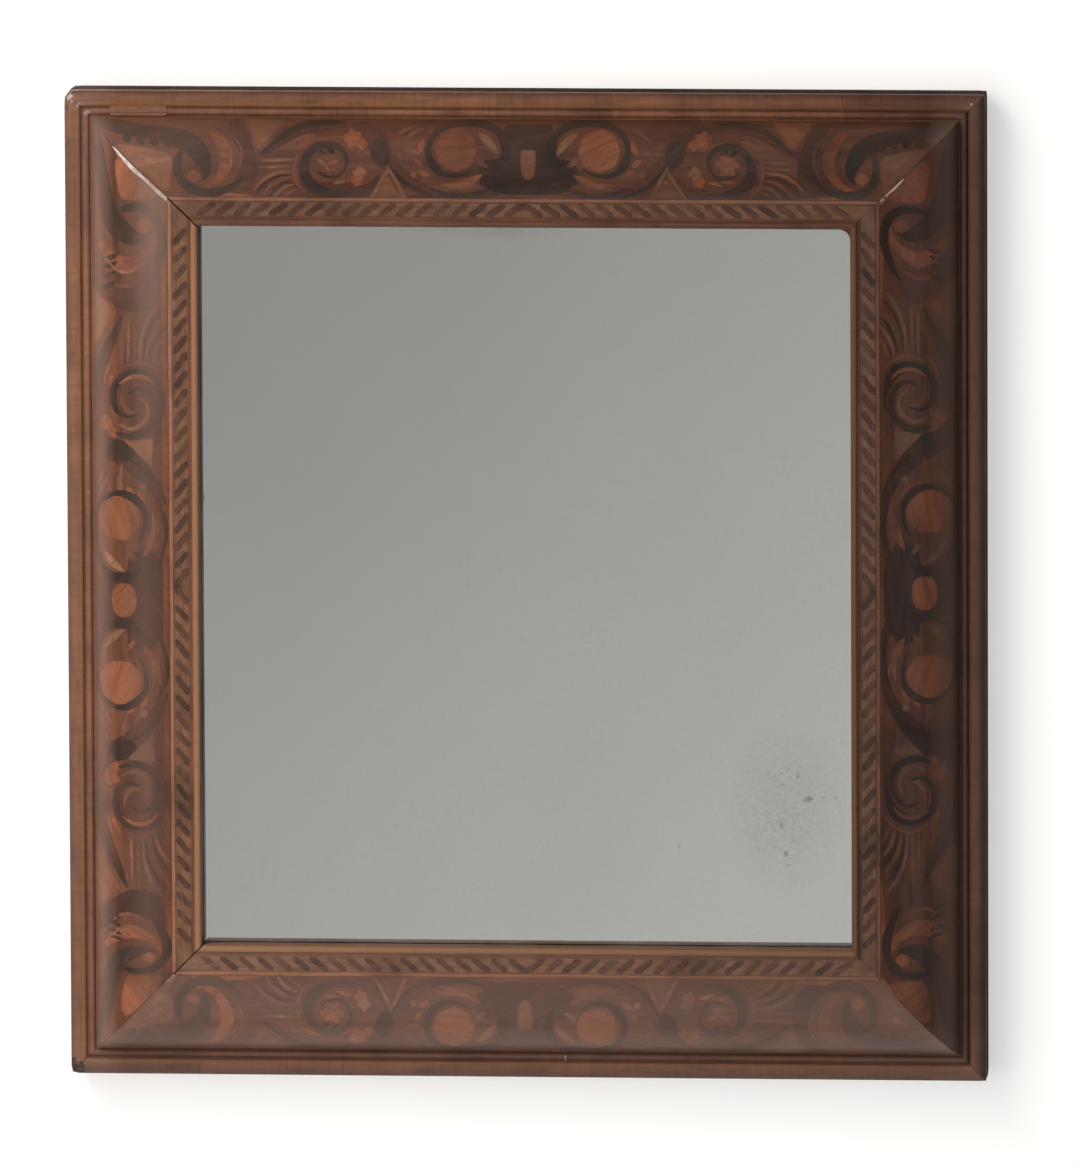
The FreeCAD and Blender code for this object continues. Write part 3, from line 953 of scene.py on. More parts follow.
@dataclass(frozen=True)
class Silvering:
    """Greyed silvering with a painted reflection gradient, darker towards the upper left, with specks low on
    the right and lost edges.
    """

    name: str = "silvering"
    dull: Colour = (194, 190, 187)
    clear: Colour = (233, 233, 230)
    loss: Colour = (112, 107, 100)
    speck_field: tuple[Flat, Flat] = ((184.0, -148.0), (46.0, 74.0))
    blots: tuple[tuple[Flat, Flat, float], ...] = (
        ((196.5, -149.0), (6.0, 5.0), 0.46),
        ((188.5, -133.0), (2.6, 5.0), 0.34),
        ((177.7, -139.0), (2.6, 2.4), 0.34),
        ((177.0, -168.0), (2.4, 5.0), 0.3),
        ((180.0, -188.0), (3.2, 4.2), 0.38),
        ((182.0, -196.0), (2.4, 2.2), 0.3),
        ((206.0, -148.0), (2.8, 1.6), 0.28),
        ((215.0, -148.0), (2.8, 1.6), 0.28),
        ((106.0, -183.0), (1.8, 4.0), 0.2),
        ((-226.0, 60.0), (2.4, 6.0), 0.4),
    )
    haze: tuple[tuple[Flat, Flat], ...] = (
        ((-12.0, 250.0), (46.0, 9.0)),
        ((-60.0, 252.0), (40.0, 6.0)),
        ((180.0, -156.0), (48.0, 66.0)),
    )

    def material(self) -> Material:
        """Builds the finish."""
        graph = Graph(self.name)
        place = graph.parts(graph.coords())
        slant = graph.maths("SUBTRACT", place["X"], graph.times(place["Z"], 1.15))
        slant = graph.plus(slant, graph.level(graph.noise(5.0, 4.0, 0.4), 0.2, 0.8, -0.07, 0.07))
        # Painted reflection: the silvering runs from dim at the upper left to clear at the lower right
        silver = graph.ramp(graph.level(slant, -0.42, 0.42), ((0.0, self.dull), (1.0, self.clear)))
        silver = graph.shade(silver, (214, 212, 208), graph.noise(420.0, 2.0), 0.55, 0.8, 0.14)
        lost = self.lost_share(graph)
        silver = graph.mix(silver, self.loss, lost)
        rough = graph.level(lost, 0.0, 1.0, 0.03, 0.3)
        bright = graph.maths("SUBTRACT", 1.0, graph.times(lost, 0.6))
        return graph.finish(Base_Color=silver, Roughness=rough, Metallic=bright)

    def lost_share(self, graph: Graph) -> NodeSocket:
        """Gives how much of the silvering is lost at a spot.

        Args:
            graph: The finish in the making.

        Returns:
            A share from 0 to 1.
        """
        ragged = graph.noise(500.0)
        fine = graph.level(graph.cells(graph.coords(), 240.0), 0.12, 0.3, 1.0, 0.0)
        sparse = graph.level(graph.noise(90.0, 2.0), 0.5, 0.66)
        lost = graph.times(fine, sparse, graph.spot(*self.speck_field), 0.5)
        for centre, radii, share in self.blots:
            mask = graph.plus(graph.spot(centre, radii), graph.level(ragged, 0.2, 0.8, -0.5, 0.3))
            lost = graph.most(lost, graph.level(mask, 0.15, 0.6, 0.0, share))
        for centre, radii in self.haze:
            mask = graph.times(graph.spot(centre, radii), graph.level(ragged, 0.25, 0.7), 0.22)
            lost = graph.most(lost, mask)
        return lost


class Finish(Enum):
    """Every finish of the mirror, each made once, when a piece first asks for it."""

    GROUND = Veneer("ground_veneer", (90, 52, 34), (113, 67, 43), (130, 81, 53), streaks=(9.0, 120.0))
    FIELD_WOOD = Veneer("field_veneer", (66, 40, 29), (80, 49, 35), (94, 58, 42))
    ORANGE_WOOD = Veneer("orange_veneer", (112, 62, 34), (132, 75, 43), (148, 90, 55), burn=0.25)
    DARK_WOOD = Veneer("dark_veneer", (46, 32, 25), (58, 41, 31), (72, 51, 39), burn=0.15)
    LIGHT_WOOD = Veneer("light_veneer", (110, 73, 51), (127, 86, 61), (143, 101, 74), burn=0.25)
    TAN_WOOD = Veneer("tan_veneer", (100, 63, 43), (116, 73, 50), (129, 85, 60), burn=0.25)
    # Worn bare wood, so pale that it also serves as a painted highlight along the mitres
    BARE_WOOD = Veneer("bare_wood", (206, 188, 174), (236, 224, 214), (250, 243, 236), burn=0.1, bloom=0.5)
    BEAD = CrossBand("bead_veneer", (121, 79, 55), (142, 95, 67), chips=BEAD_CHIPS)
    SIDE = CrossBand("side_stain", (50, 32, 25), (72, 46, 34), segment=190.0, gloss=0.8, shine=0.02)
    SLIP = Veneer(
        "slip_veneer", (98, 62, 43), (122, 80, 55), (142, 97, 69),
        streaks=(12.0, 260.0), worn=(130, 92, 64), worn_from=(0.1, 0.4), bloom=0.25,
    )
    STRING = Veneer(
        "string_veneer", (140, 93, 65), (162, 111, 80), (178, 128, 96), streaks=(12.0, 400.0), bloom=0.25
    )
    ROPE = Veneer(
        "rope_veneer", (113, 78, 55), (134, 95, 68), (152, 111, 81),
        streaks=(60.0, 300.0), bloom=0.1, depth=0.72,
    )
    STRAND = Veneer(
        "strand_veneer", (68, 45, 34), (84, 56, 43), (100, 69, 53),
        streaks=(60.0, 300.0), bloom=0.1, depth=0.72,
    )
    RAIL_PINE = Softwood("rail_pine", Grain.ALONG_X)
    STILE_PINE = Softwood("stile_pine", Grain.ALONG_Z)
    BOARD_PINE = Softwood("board_pine", Grain.ALONG_Z, (150, 112, 78), (124, 87, 58))
    PEG = Softwood("peg_oak", Grain.ALONG_Z, (112, 78, 50), (80, 54, 36))
    IRON = Metal("rusted_iron", (58, 50, 46), (92, 52, 32), metallic=0.8, rough=(0.5, 0.85))
    BRASS = Metal("old_brass", (196, 150, 82), (98, 72, 42), cover=(0.46, 0.72))
    GLASS = PlateGlass()
    SILVERING = Silvering()

    @cached_property
    def material(self) -> Material:
        """The finish as a material."""
        return self.value.material()


@dataclass(frozen=True)
class OuterEdge:
    """Side band and outer moulding: a wide bead, a quirk, a small bead and a second quirk."""

    band: float = 3.0
    edge: float = CORE_FRONT + 4.0
    quirk: float = CORE_FRONT + 2.0
    bead_width: float = 10.8
    bead_swell: float = 3.0
    quirk_width: float = 1.2
    small_swell: float = 2.4
    width: float = 18.6
    ease: float = 0.5
    mend_span: Flat = (-288.0, -249.0)
    # Added to the darkening of the whole right bead, which is darker all over
    soot: float = 0.5

    def moulding_outline(self) -> list[Flat]:
        """Section of the outer moulding."""
        small_start = self.bead_width + self.quirk_width
        small_end = self.width - self.quirk_width
        start = (self.ease * 0.4, self.edge + self.ease * 0.2)
        return [
            (0.0, CORE_FRONT),
            (0.0, self.edge - self.ease),
            start,
            *bead(start, (self.bead_width, self.edge), self.bead_swell, 14),
            (self.bead_width, self.quirk),
            (small_start, self.quirk),
            *bead((small_start, self.quirk), (small_end, self.quirk), self.small_swell, 10),
            (self.width, self.quirk),
            (self.width, CORE_FRONT),
        ]

    def dirt(self, spot: Flat) -> float:
        """How dark the moulding is painted: at its outer edge and on the small bead partly grime and partly
        painted shade on their lit faces, darker in the quirks, and below 0 painted lighter on the wide bead's
        inner slope against the quirks' shadow.
        """
        clean = self.bead_width * 0.65
        if spot[0] < clean:
            return 1 - spot[0] / clean
        if spot[1] < self.quirk + 0.1:
            return 0.7
        if spot[0] < self.bead_width + 0.1:
            return -smooth_step((spot[0] - clean) / 3)
        return 0.3

    def mend_outline(self) -> list[Flat]:
        """Section of the plain strip that fills the quirk and the small bead along a damaged length."""
        start, end, low = self.bead_width - 1.2, self.width - 0.2, CORE_FRONT + 0.5
        return [
            (start, low),
            (start, self.edge + 0.6),
            (self.bead_width, self.edge + 0.2),
            (end - 1.0, self.quirk + self.small_swell - 0.4),
            (end, self.quirk + 1.0),
            (end, low),
        ]

    def mend(self) -> Shell:
        """The plain strip, near the upper left corner."""
        start, end = self.mend_span
        middle, half = (start + end) / 2, (end - start) / 2
        rail, outline = Rail(TOP), self.mend_outline()
        return sweep(outline, lambda corner: half, lambda run, corner: rail.spot(middle + run, *corner))

    def band_outline(self) -> list[Flat]:
        """Section of the side band."""
        corners = [(0.0, CORE_BACK), (self.band, CORE_BACK), (self.band, CORE_FRONT), (0.0, CORE_FRONT)]
        return eased(corners, self.ease)

    def build(self) -> None:
        """Makes the four lengths of both."""
        for side in Side:
            rail = Rail(side)
            soot = self.soot if side is RIGHT else 0.0
            rail.lay(
                "bead_moulding",
                Finish.BEAD,
                "outer_moulding",
                self.moulding_outline(),
                lambda run, spot: self.dirt(spot) + soot,
            )
            rail.lay("stained_band", Finish.SIDE, "side_band", self.band_outline())
        self.mend().settle("mended_strip", Finish.BEAD, "outer_moulding")


def spline(spots: Sequence[Sequence[float]], closed: bool = False, steps: int = 8) -> list[tuple[float, ...]]:
    """Smooth curve through given spots.

    Args:
        spots: Spots with any number of coordinates.
        closed: Whether the curve comes back to its start.
        steps: How many spots to give for each stretch.

    Returns:
        Spots along the curve.
    """
    points = [np.array(s, float) for s in spots]
    count = len(points)
    found = []
    for number in range(count if closed else count - 1):
        near = range(number - 1, number + 3)
        a, b, c, d = (points[k % count if closed else min(max(k, 0), count - 1)] for k in near)
        for step in range(steps):
            t = step / steps
            square, cube = 2 * a - 5 * b + 4 * c - d, -a + 3 * b - 3 * c + d
            found.append(tuple(0.5 * (2 * b + (c - a) * t + square * t**2 + cube * t**3)))
    return found if closed else [*found, tuple(points[-1])]


@dataclass(frozen=True)
class Disc:
    """Round piece, or a flower where it has lobes."""

    centre: Flat
    radius: float
    lobes: int = 0
    swell: float = 0.0
    steps: int = 44

    def outline(self) -> list[Flat]:
        """Spots round the piece, as (along, across)."""
        spots = []
        for number in range(self.steps):
            angle = 2 * math.pi * number / self.steps
            reach = self.radius * (1 + self.swell * math.cos(self.lobes * angle))
            spots.append((self.centre[0] + reach * math.cos(angle), self.centre[1] + reach * math.sin(angle)))
        return spots


@dataclass(frozen=True)
class Ribbon:
    """Scroll with a changing width, from spots of (along, across, width)."""

    line: tuple[Spot, ...]

    def outline(self) -> list[Flat]:
        """Spots up one edge and back along the other."""
        course = spline(self.line)
        left, right = [], []
        for number, (along, across, width) in enumerate(course):
            before = course[max(number - 1, 0)]
            after = course[min(number + 1, len(course) - 1)]
            turn = Vector((before[1] - after[1], after[0] - before[0])).normalized() * width / 2
            left.append((along + turn.x, across + turn.y))
            right.append((along - turn.x, across - turn.y))
        return left + right[::-1]


@dataclass(frozen=True)
class Leaf:
    """Pointed leaf between two tips, bent to one side."""

    start: Flat
    end: Flat
    width: float
    bend: float = 0.0
    steps: int = 14

    def outline(self) -> list[Flat]:
        """Spots up one edge and back along the other."""
        start, end = Vector(self.start), Vector(self.end)
        normal = Vector((start.y - end.y, end.x - start.x)).normalized()
        edges: list[list[Flat]] = [[], []]
        for number in range(self.steps + 1):
            share = number / self.steps
            arch = math.sin(math.pi * share)
            for edge, way in zip(edges, (1, -1)):
                offset = self.bend * arch + way * self.width / 2 * arch**0.8
                edge.append(tuple(start.lerp(end, share) + normal * offset))
        return edges[0] + edges[1][-2:0:-1]


@dataclass(frozen=True)
class Patch:
    """Piece with a free outline, soft or with straight sides, and whole where it spans the middle."""

    corners: tuple[Flat, ...]
    soft: bool = True
    whole: bool = False

    def outline(self) -> list[Flat]:
        """Spots round the piece."""
        corners = list(self.corners)
        if self.whole:
            corners += [(-along, across) for along, across in reversed(corners)]
        return spline(corners, closed=True, steps=6) if self.soft else corners


Shape = Disc | Ribbon | Leaf | Patch


class Wood(Enum):
    """Woods of the marquetry: how far each stands over the ground, its pieces' name and its finish."""

    FIELD = (0.05, "brown_fields", Finish.FIELD_WOOD)
    TAN = (0.08, "tan_pieces", Finish.TAN_WOOD)
    ORANGE = (0.11, "orange_pieces", Finish.ORANGE_WOOD)
    DARK = (0.14, "dark_scrolls", Finish.DARK_WOOD)
    LIGHT = (0.17, "light_leaves", Finish.LIGHT_WOOD)
    BARE = (0.2, "bare_edges", Finish.BARE_WOOD)


FIELD, TAN, ORANGE, DARK, LIGHT, BARE = Wood
UPRIGHTS = (LEFT, RIGHT)
LEVELS = (TOP, BOTTOM)
ONCE = (Hand.AFTER,)


@dataclass(frozen=True)
class Motif:
    """One piece of the marquetry, placed along from the middle of a side and across from its edge."""

    wood: Wood
    shape: Shape
    extra_lift: float = 0.0
    hands: tuple[Hand, ...] = tuple(Hand)
    sides: tuple[Side, ...] = tuple(Side)


URN = Patch((
    (5, 3), (15, 3), (17, 9), (13, 17), (19, 24), (31, 27), (35, 35), (32, 44), (20, 50), (6, 51),
), whole=True)
TEMPLATE: tuple[Motif, ...] = (
    # Urn in the middle, with its slot
    Motif(FIELD, URN, hands=ONCE, sides=(LEFT, BOTTOM)),
    Motif(DARK, URN, -0.09, ONCE, (TOP, RIGHT)),
    Motif(TAN, Patch(((3, 19), (5.1, 20.4), (5, 31), (2.8, 38.6)), whole=True), hands=ONCE, sides=LEVELS),
    Motif(ORANGE, Patch((
        (6, 14.5), (11.4, 19), (11, 27), (5, 31),
    ), whole=True), hands=ONCE, sides=UPRIGHTS),
    # Disc in its open scroll, with the leaves beside and under it
    Motif(ORANGE, Disc((50, 19.5), 14.4, 8, 0.02), sides=LEVELS),
    Motif(ORANGE, Disc((57.5, 19.5), 15.4, 7, 0.03), sides=UPRIGHTS),
    Motif(DARK, Ribbon((
        (20, 33, 3), (16, 24, 6.6), (16.4, 15, 6.4), (21, 7.6, 5.2), (30, 3.6, 4.4), (42, 2.2, 4),
        (53, 3, 4), (62, 6.4, 4), (68.4, 14, 4), (69.4, 23, 4.8), (65.2, 31.6, 5.8), (57.5, 36.6, 3.8),
        (47, 36.8, 2.4), (38, 32.6, 1),
    )), sides=LEVELS),
    Motif(DARK, Ribbon((
        (20, 33, 3), (16, 24, 6.6), (16.4, 15, 6.4), (21, 7.6, 5.2), (31, 3.6, 4.4), (44, 2.2, 3),
        (57, 2.4, 2.4), (67, 5.6, 3), (73.8, 14, 3.6), (74.6, 23, 4.8), (70, 31.6, 5.8), (62, 37, 3.8),
        (50, 37, 2.4), (40, 32.6, 1),
    )), sides=UPRIGHTS),
    Motif(LIGHT, Leaf((35, 8), (20.5, 23), 5.6, 1.6)),
    Motif(TAN, Leaf((36, 23), (27, 31), 4, -1)),
    Motif(ORANGE, Leaf((31, 36), (50, 42), 5.6, 1.8)),
    Motif(LIGHT, Leaf((36, 41.4), (62, 43), 3.4, 1.4)),
    Motif(TAN, Leaf((29, 45), (61, 48), 4, -1.6)),
    Motif(DARK, Ribbon(((20, 45, 1), (31, 48.6, 2.2), (44, 51.4, 3), (58, 50.6, 2.8), (68, 46, 1.2)))),
    Motif(ORANGE, Leaf((73, 12), (77, 22), 4.4, 0.6)),
    Motif(TAN, Leaf((72, 20), (88, 19), 5, 1.0)),
    Motif(ORANGE, Leaf((73, 31), (80, 25), 4.2)),
    Motif(ORANGE, Leaf((67, 38), (77, 34), 5, -0.6)),
    Motif(LIGHT, Disc((80, 36), 2.6, 5, 0.12)),
    Motif(TAN, Leaf((81, 20.5), (97, 22), 2.2, 0.4)),
    Motif(TAN, Leaf((71, 5), (88, 14), 2.4, -1.2)),
    Motif(TAN, Leaf((77, 4), (94, 11), 2.2, -1.2)),
    # S-scroll that runs from the urn's foot up to the outer edge
    Motif(FIELD, Ribbon((
        (17, 49, 1.6), (31, 51.6, 3.6), (47, 52, 4.6), (63, 50.5, 6), (75, 46.5, 8), (86, 39.5, 11),
        (95.5, 31, 13), (103, 21.5, 15), (108, 11.5, 14), (116, 5.5, 8), (126, 4, 3),
    ))),
    Motif(DARK, Ribbon(((66, 51.6, 1), (76, 48.6, 2.2), (86, 43, 2.8), (95, 34, 2.4), (99, 27, 1)))),
    Motif(DARK, Patch(((98, 26), (100, 16), (107, 12), (113, 18), (110, 27), (104, 31)))),
    # Light tent over the inner edge, or a plain wedge on the uprights
    Motif(TAN, Patch(((99, 37), (110, 53.6), (88, 53.6)), soft=False), sides=LEVELS),
    Motif(LIGHT, Ribbon(((87, 55, 2.6), (93.4, 42, 3), (99, 32.6, 2.4), (99.6, 31, 0.8))), sides=LEVELS),
    Motif(LIGHT, Ribbon((
        (113, 55, 2.6), (105, 42, 3), (99.4, 33.4, 2.4), (98.6, 31.6, 0.8),
    )), sides=LEVELS),
    Motif(LIGHT, Patch(((112, 24), (114, 44), (94, 42)), soft=False), sides=UPRIGHTS),
    # Roundel with its thick dark scroll, and the rosette over it
    Motif(FIELD, Ribbon((
        (106, 38, 3), (113, 46.5, 7), (125, 50, 8), (138, 50.4, 8), (150, 48, 7), (158, 42, 3),
    ))),
    Motif(ORANGE, Disc((124.6, 12.4), 5.8, 5, 0.14)),
    Motif(LIGHT, Disc((128.4, 11), 2.2, 4, 0.1), 0.02),
    Motif(ORANGE, Disc((117.6, 15.6), 3.6, 4, 0.1)),
    Motif(DARK, Ribbon((
        (130.6, 33, 1.2), (129, 25.6, 2.6), (132.4, 19, 3.8), (140, 16, 4.8), (149.5, 17, 5.2),
        (156.6, 23.4, 5.8), (158.8, 33, 7.4), (155.4, 42.4, 8.2), (147, 47.6, 5.4), (137, 50, 2.6),
        (126, 49.6, 1),
    ))),
    Motif(DARK, Leaf((137, 22), (143, 17), 4), sides=LEVELS),
    Motif(DARK, Leaf((143, 23), (150, 18), 4), sides=LEVELS),
    Motif(ORANGE, Disc((141.6, 29), 7.4, 6, 0.2), sides=LEVELS),
    Motif(LIGHT, Leaf((134, 26), (143, 30), 3, 0.6), sides=LEVELS),
    Motif(LIGHT, Leaf((149, 25.4), (142, 30), 2.6, -0.5), sides=LEVELS),
    Motif(LIGHT, Leaf((140, 36), (142.6, 30), 2.4, 0.4), sides=LEVELS),
    Motif(DARK, Ribbon((
        (129.6, 33, 1.2), (135, 38, 1.8), (143, 38.4, 1.8), (150, 34, 0.8),
    )), sides=LEVELS),
    Motif(DARK, Ribbon((
        (118, 18, 2), (115.4, 28, 4.6), (119, 39, 5), (129, 46, 4.4), (142, 44, 3.6), (149, 35, 3),
        (146, 27, 1.4),
    )), sides=UPRIGHTS),
    Motif(LIGHT, Ribbon((
        (124, 20, 1), (121, 30, 3), (127, 39, 3.4), (137, 40, 2.4), (143, 34, 1),
    )), sides=UPRIGHTS),
    Motif(TAN, Ribbon(((146, 22, 1), (138, 23, 3.2), (132, 28, 3.4), (134, 34, 1.4))), sides=UPRIGHTS),
    Motif(ORANGE, Ribbon(((152, 20, 1), (157, 29, 3), (156, 39, 3), (150, 45, 1))), 0.05, sides=UPRIGHTS),
    Motif(LIGHT, Disc((119.6, 35), 4.4, 4, 0.16), sides=LEVELS),
    Motif(ORANGE, Disc((121.6, 40.4), 4.6, 5, 0.14), sides=LEVELS),
    Motif(LIGHT, Leaf((127, 41.4), (139, 44), 3, -0.8), sides=LEVELS),
    Motif(ORANGE, Leaf((136, 41), (149, 42), 3.8, -1), sides=LEVELS),
    Motif(TAN, Ribbon(((163, 22, 0.8), (166, 33, 1.8), (163.6, 44, 1.6), (157, 51.5, 0.8)))),
    Motif(TAN, Leaf((150, 9.5), (167, 14.5), 2.8, -1)),
    Motif(ORANGE, Leaf((148, 12.6), (165, 19.5), 2.8, -1.4)),
    # Dark arch along the outer edge, down to the point of the notch
    Motif(FIELD, Ribbon((
        (130, 3.4, 4), (146, 4.4, 7), (160, 6, 8), (171, 11, 8), (180, 18, 5), (188, 23.6, 1.4),
    ))),
    Motif(DARK, Ribbon((
        (134, 2.4, 1.4), (150, 2.8, 3), (164, 5.4, 3.4), (175, 12, 3.2), (187, 22.4, 1),
    ))),
    Motif(TAN, Patch(((171, 0.6), (198, 0.6), (188, 19)), soft=False)),
    # Feathers
    Motif(LIGHT, Leaf((164.6, 26), (188, 26.8), 2.2, 0.3)),
    Motif(TAN, Leaf((166.5, 30.4), (190, 31.4), 2.4, 0.5)),
    Motif(LIGHT, Ribbon(((167, 34.6, 0.7), (177, 35.6, 2.2), (186, 40.6, 2), (193, 49, 0.7)))),
    Motif(DARK, Ribbon(((168, 37, 0.6), (177, 38.6, 1.6), (184.6, 43.6, 1.6), (190, 51, 0.6)))),
    Motif(TAN, Ribbon(((166.6, 38.8, 0.7), (174.5, 41, 2.4), (181.4, 46, 2.2), (186, 53, 0.7)))),
    Motif(DARK, Ribbon(((166.6, 41.4, 0.6), (173, 43.4, 1.4), (178.6, 47.6, 1.4), (182.4, 53.4, 0.6)))),
    Motif(LIGHT, Ribbon(((165.6, 43.4, 0.7), (171.4, 45.6, 2.2), (176, 49.4, 2), (179, 53.8, 0.7)))),
    Motif(TAN, Ribbon(((163.6, 47, 0.7), (167.8, 49, 2), (171, 51.4, 1.8), (173, 54, 0.7)))),
    # Dark leaf beyond the notch, with hanging fingers on the uprights
    Motif(FIELD, Patch((
        (190, 22), (199, 3.4), (209, 3), (204, 14), (199, 26), (203, 40), (212, 48), (199, 50),
        (190, 40),
    ))),
    *(
        Motif(DARK, Leaf((198 + 5 * k, 6.5 + k), (201 + 5 * k, 18 + k), 2.8, 0.8), sides=UPRIGHTS)
        for k in range(4)
    ),
    # Corner volute with its orange crescent and dot
    Motif(TAN, Ribbon(((207, 9, 0.6), (200.6, 17, 1.5), (199.6, 27, 1.5), (202.6, 36, 0.6)))),
    Motif(ORANGE, Ribbon((
        (221, 7, 3.4), (213, 14.4, 8.4), (209.4, 24, 8.6), (211, 34, 7.4), (217, 42.4, 5.6),
        (226, 46.6, 3), (232, 46, 1),
    ))),
    Motif(LIGHT, Ribbon(((213, 10, 0.5), (206.6, 19, 1.5), (206, 29, 1.5), (209.6, 38, 0.5)))),
    Motif(DARK, Ribbon((
        (303, 1.6, 3), (290, 4, 6.4), (274, 7, 8.4), (258, 9.4, 9), (243, 12.6, 12), (232, 18, 13.4),
        (226.4, 26, 11.4), (224, 34, 7), (226.4, 41, 3),
    ))),
    *(Motif(DARK, Leaf((250 + 9 * k, 12 - k), (246 + 9 * k, 19 - k), 6), sides=LEVELS) for k in range(4)),
    Motif(DARK, Ribbon((
        (240, 20, 3), (242.6, 31, 5.4), (240, 42, 6.2), (231, 49, 6.6), (217, 50, 6.2), (205, 45, 4.2),
        (198, 38, 1),
    ))),
    Motif(ORANGE, Disc((231.4, 38.4), 4.6, 4, 0.06), 0.06),
    Motif(ORANGE, Patch((
        (247, 24), (258, 20), (272, 19), (275, 25), (262, 39), (249.6, 48), (247, 38),
    )), sides=UPRIGHTS),
    Motif(TAN, Patch((
        (247, 24), (258, 20), (274, 17), (281, 19), (262, 39), (250, 50), (247, 38),
    )), sides=LEVELS),
    Motif(LIGHT, Leaf((251, 33), (268, 23), 4.4, -0.8), sides=LEVELS),
    Motif(LIGHT, Leaf((252, 43), (262, 33), 2.6, -0.6)),
    # Leaf along the inner edge, and the plain border of the left side
    Motif(ORANGE, Leaf((188, 53), (240, 54.6), 4.6, -0.6)),
    Motif(ORANGE, Patch((
        (0, 49.6), (252, 49.6), (248, 53.8), (0, 53.8),
    ), soft=False), extra_lift=-0.05, sides=(LEFT,)),
    # Bare wood where the raised edges of two mitres have worn through, painted near white as a highlight
    # where those edges catch the light
    Motif(BARE, Ribbon((
        (283, 17, 0.5), (276, 24, 2.6), (268, 32, 4.6), (260, 40, 2.8), (251, 49, 3.6), (243, 57, 2),
    )), hands=(Hand.AFTER,), sides=(LEFT,)),
    Motif(BARE, Leaf((264, 36), (249, 53), 3), hands=(Hand.BEFORE,), sides=(RIGHT,)),
)


@dataclass(frozen=True)
class CushionCurve:
    """Outer surface of the cushion: two arcs that are level at the crown."""

    start: float = 18.6
    foot: float = CORE_FRONT + 4.0
    crown_depth: float = 45.6
    crown: float = CORE_FRONT + 26.0
    end: float = 72.6
    shoulder: float = CORE_FRONT + 18.0
    thick: float = 2.0

    @property
    def outer_radius(self) -> float:
        """Radius of the arc between the foot and the crown."""
        return arc_radius(self.crown_depth - self.start, self.crown - self.foot)

    @property
    def inner_radius(self) -> float:
        """Radius of the arc between the crown and the shoulder."""
        return arc_radius(self.end - self.crown_depth, self.crown - self.shoulder)

    @property
    def outer_girth(self) -> float:
        """Distance over the surface from the foot to the crown."""
        return self.outer_radius * math.asin((self.crown_depth - self.start) / self.outer_radius)

    @property
    def girth(self) -> float:
        """Distance over the surface from the foot to the shoulder."""
        return self.girth_at(self.end)

    def girth_at(self, depth: float) -> float:
        """Distance over the surface from the foot to a depth."""
        step = depth - self.crown_depth
        radius = self.outer_radius if step < 0 else self.inner_radius
        return self.outer_girth + radius * math.asin(step / radius)

    def at(self, girth: float, lift: float = 0.0) -> Flat:
        """Spot at a distance over the surface.

        Args:
            girth: Distance from the foot.
            lift: Distance out of the surface.

        Returns:
            The spot as (depth, height).
        """
        radius = self.outer_radius if girth < self.outer_girth else self.inner_radius
        angle = (girth - self.outer_girth) / radius
        grown = radius + lift
        return self.crown_depth + grown * math.sin(angle), self.crown - radius + grown * math.cos(angle)


@dataclass(frozen=True)
class MitreWear:
    """Pale worn wood along the raised edge of a mitre, strongest over one stretch of it, and painted near
    white as a highlight where that edge catches the light.
    """

    side: Side
    hand: Hand
    start: float
    end: float
    width: float
    strength: float
    fade: float = 4.0

    def share(self, rail: Rail, run: float, depth: float) -> float:
        """How worn a spot is, and so how strongly its painted highlight shows.

        Args:
            rail: The side that the spot is on.
            run: Its distance along.
            depth: Its distance in.

        Returns:
            A share from 0 to 1.
        """
        if rail.side is not self.side or run * self.hand.value < 0:
            return 0.0
        near = 1 - (rail.mitre(depth) - abs(run)) / self.width
        within = min(depth - self.start, self.end - depth) / self.fade
        return self.strength * min(1.0, max(0.0, near)) * smooth_step(within)


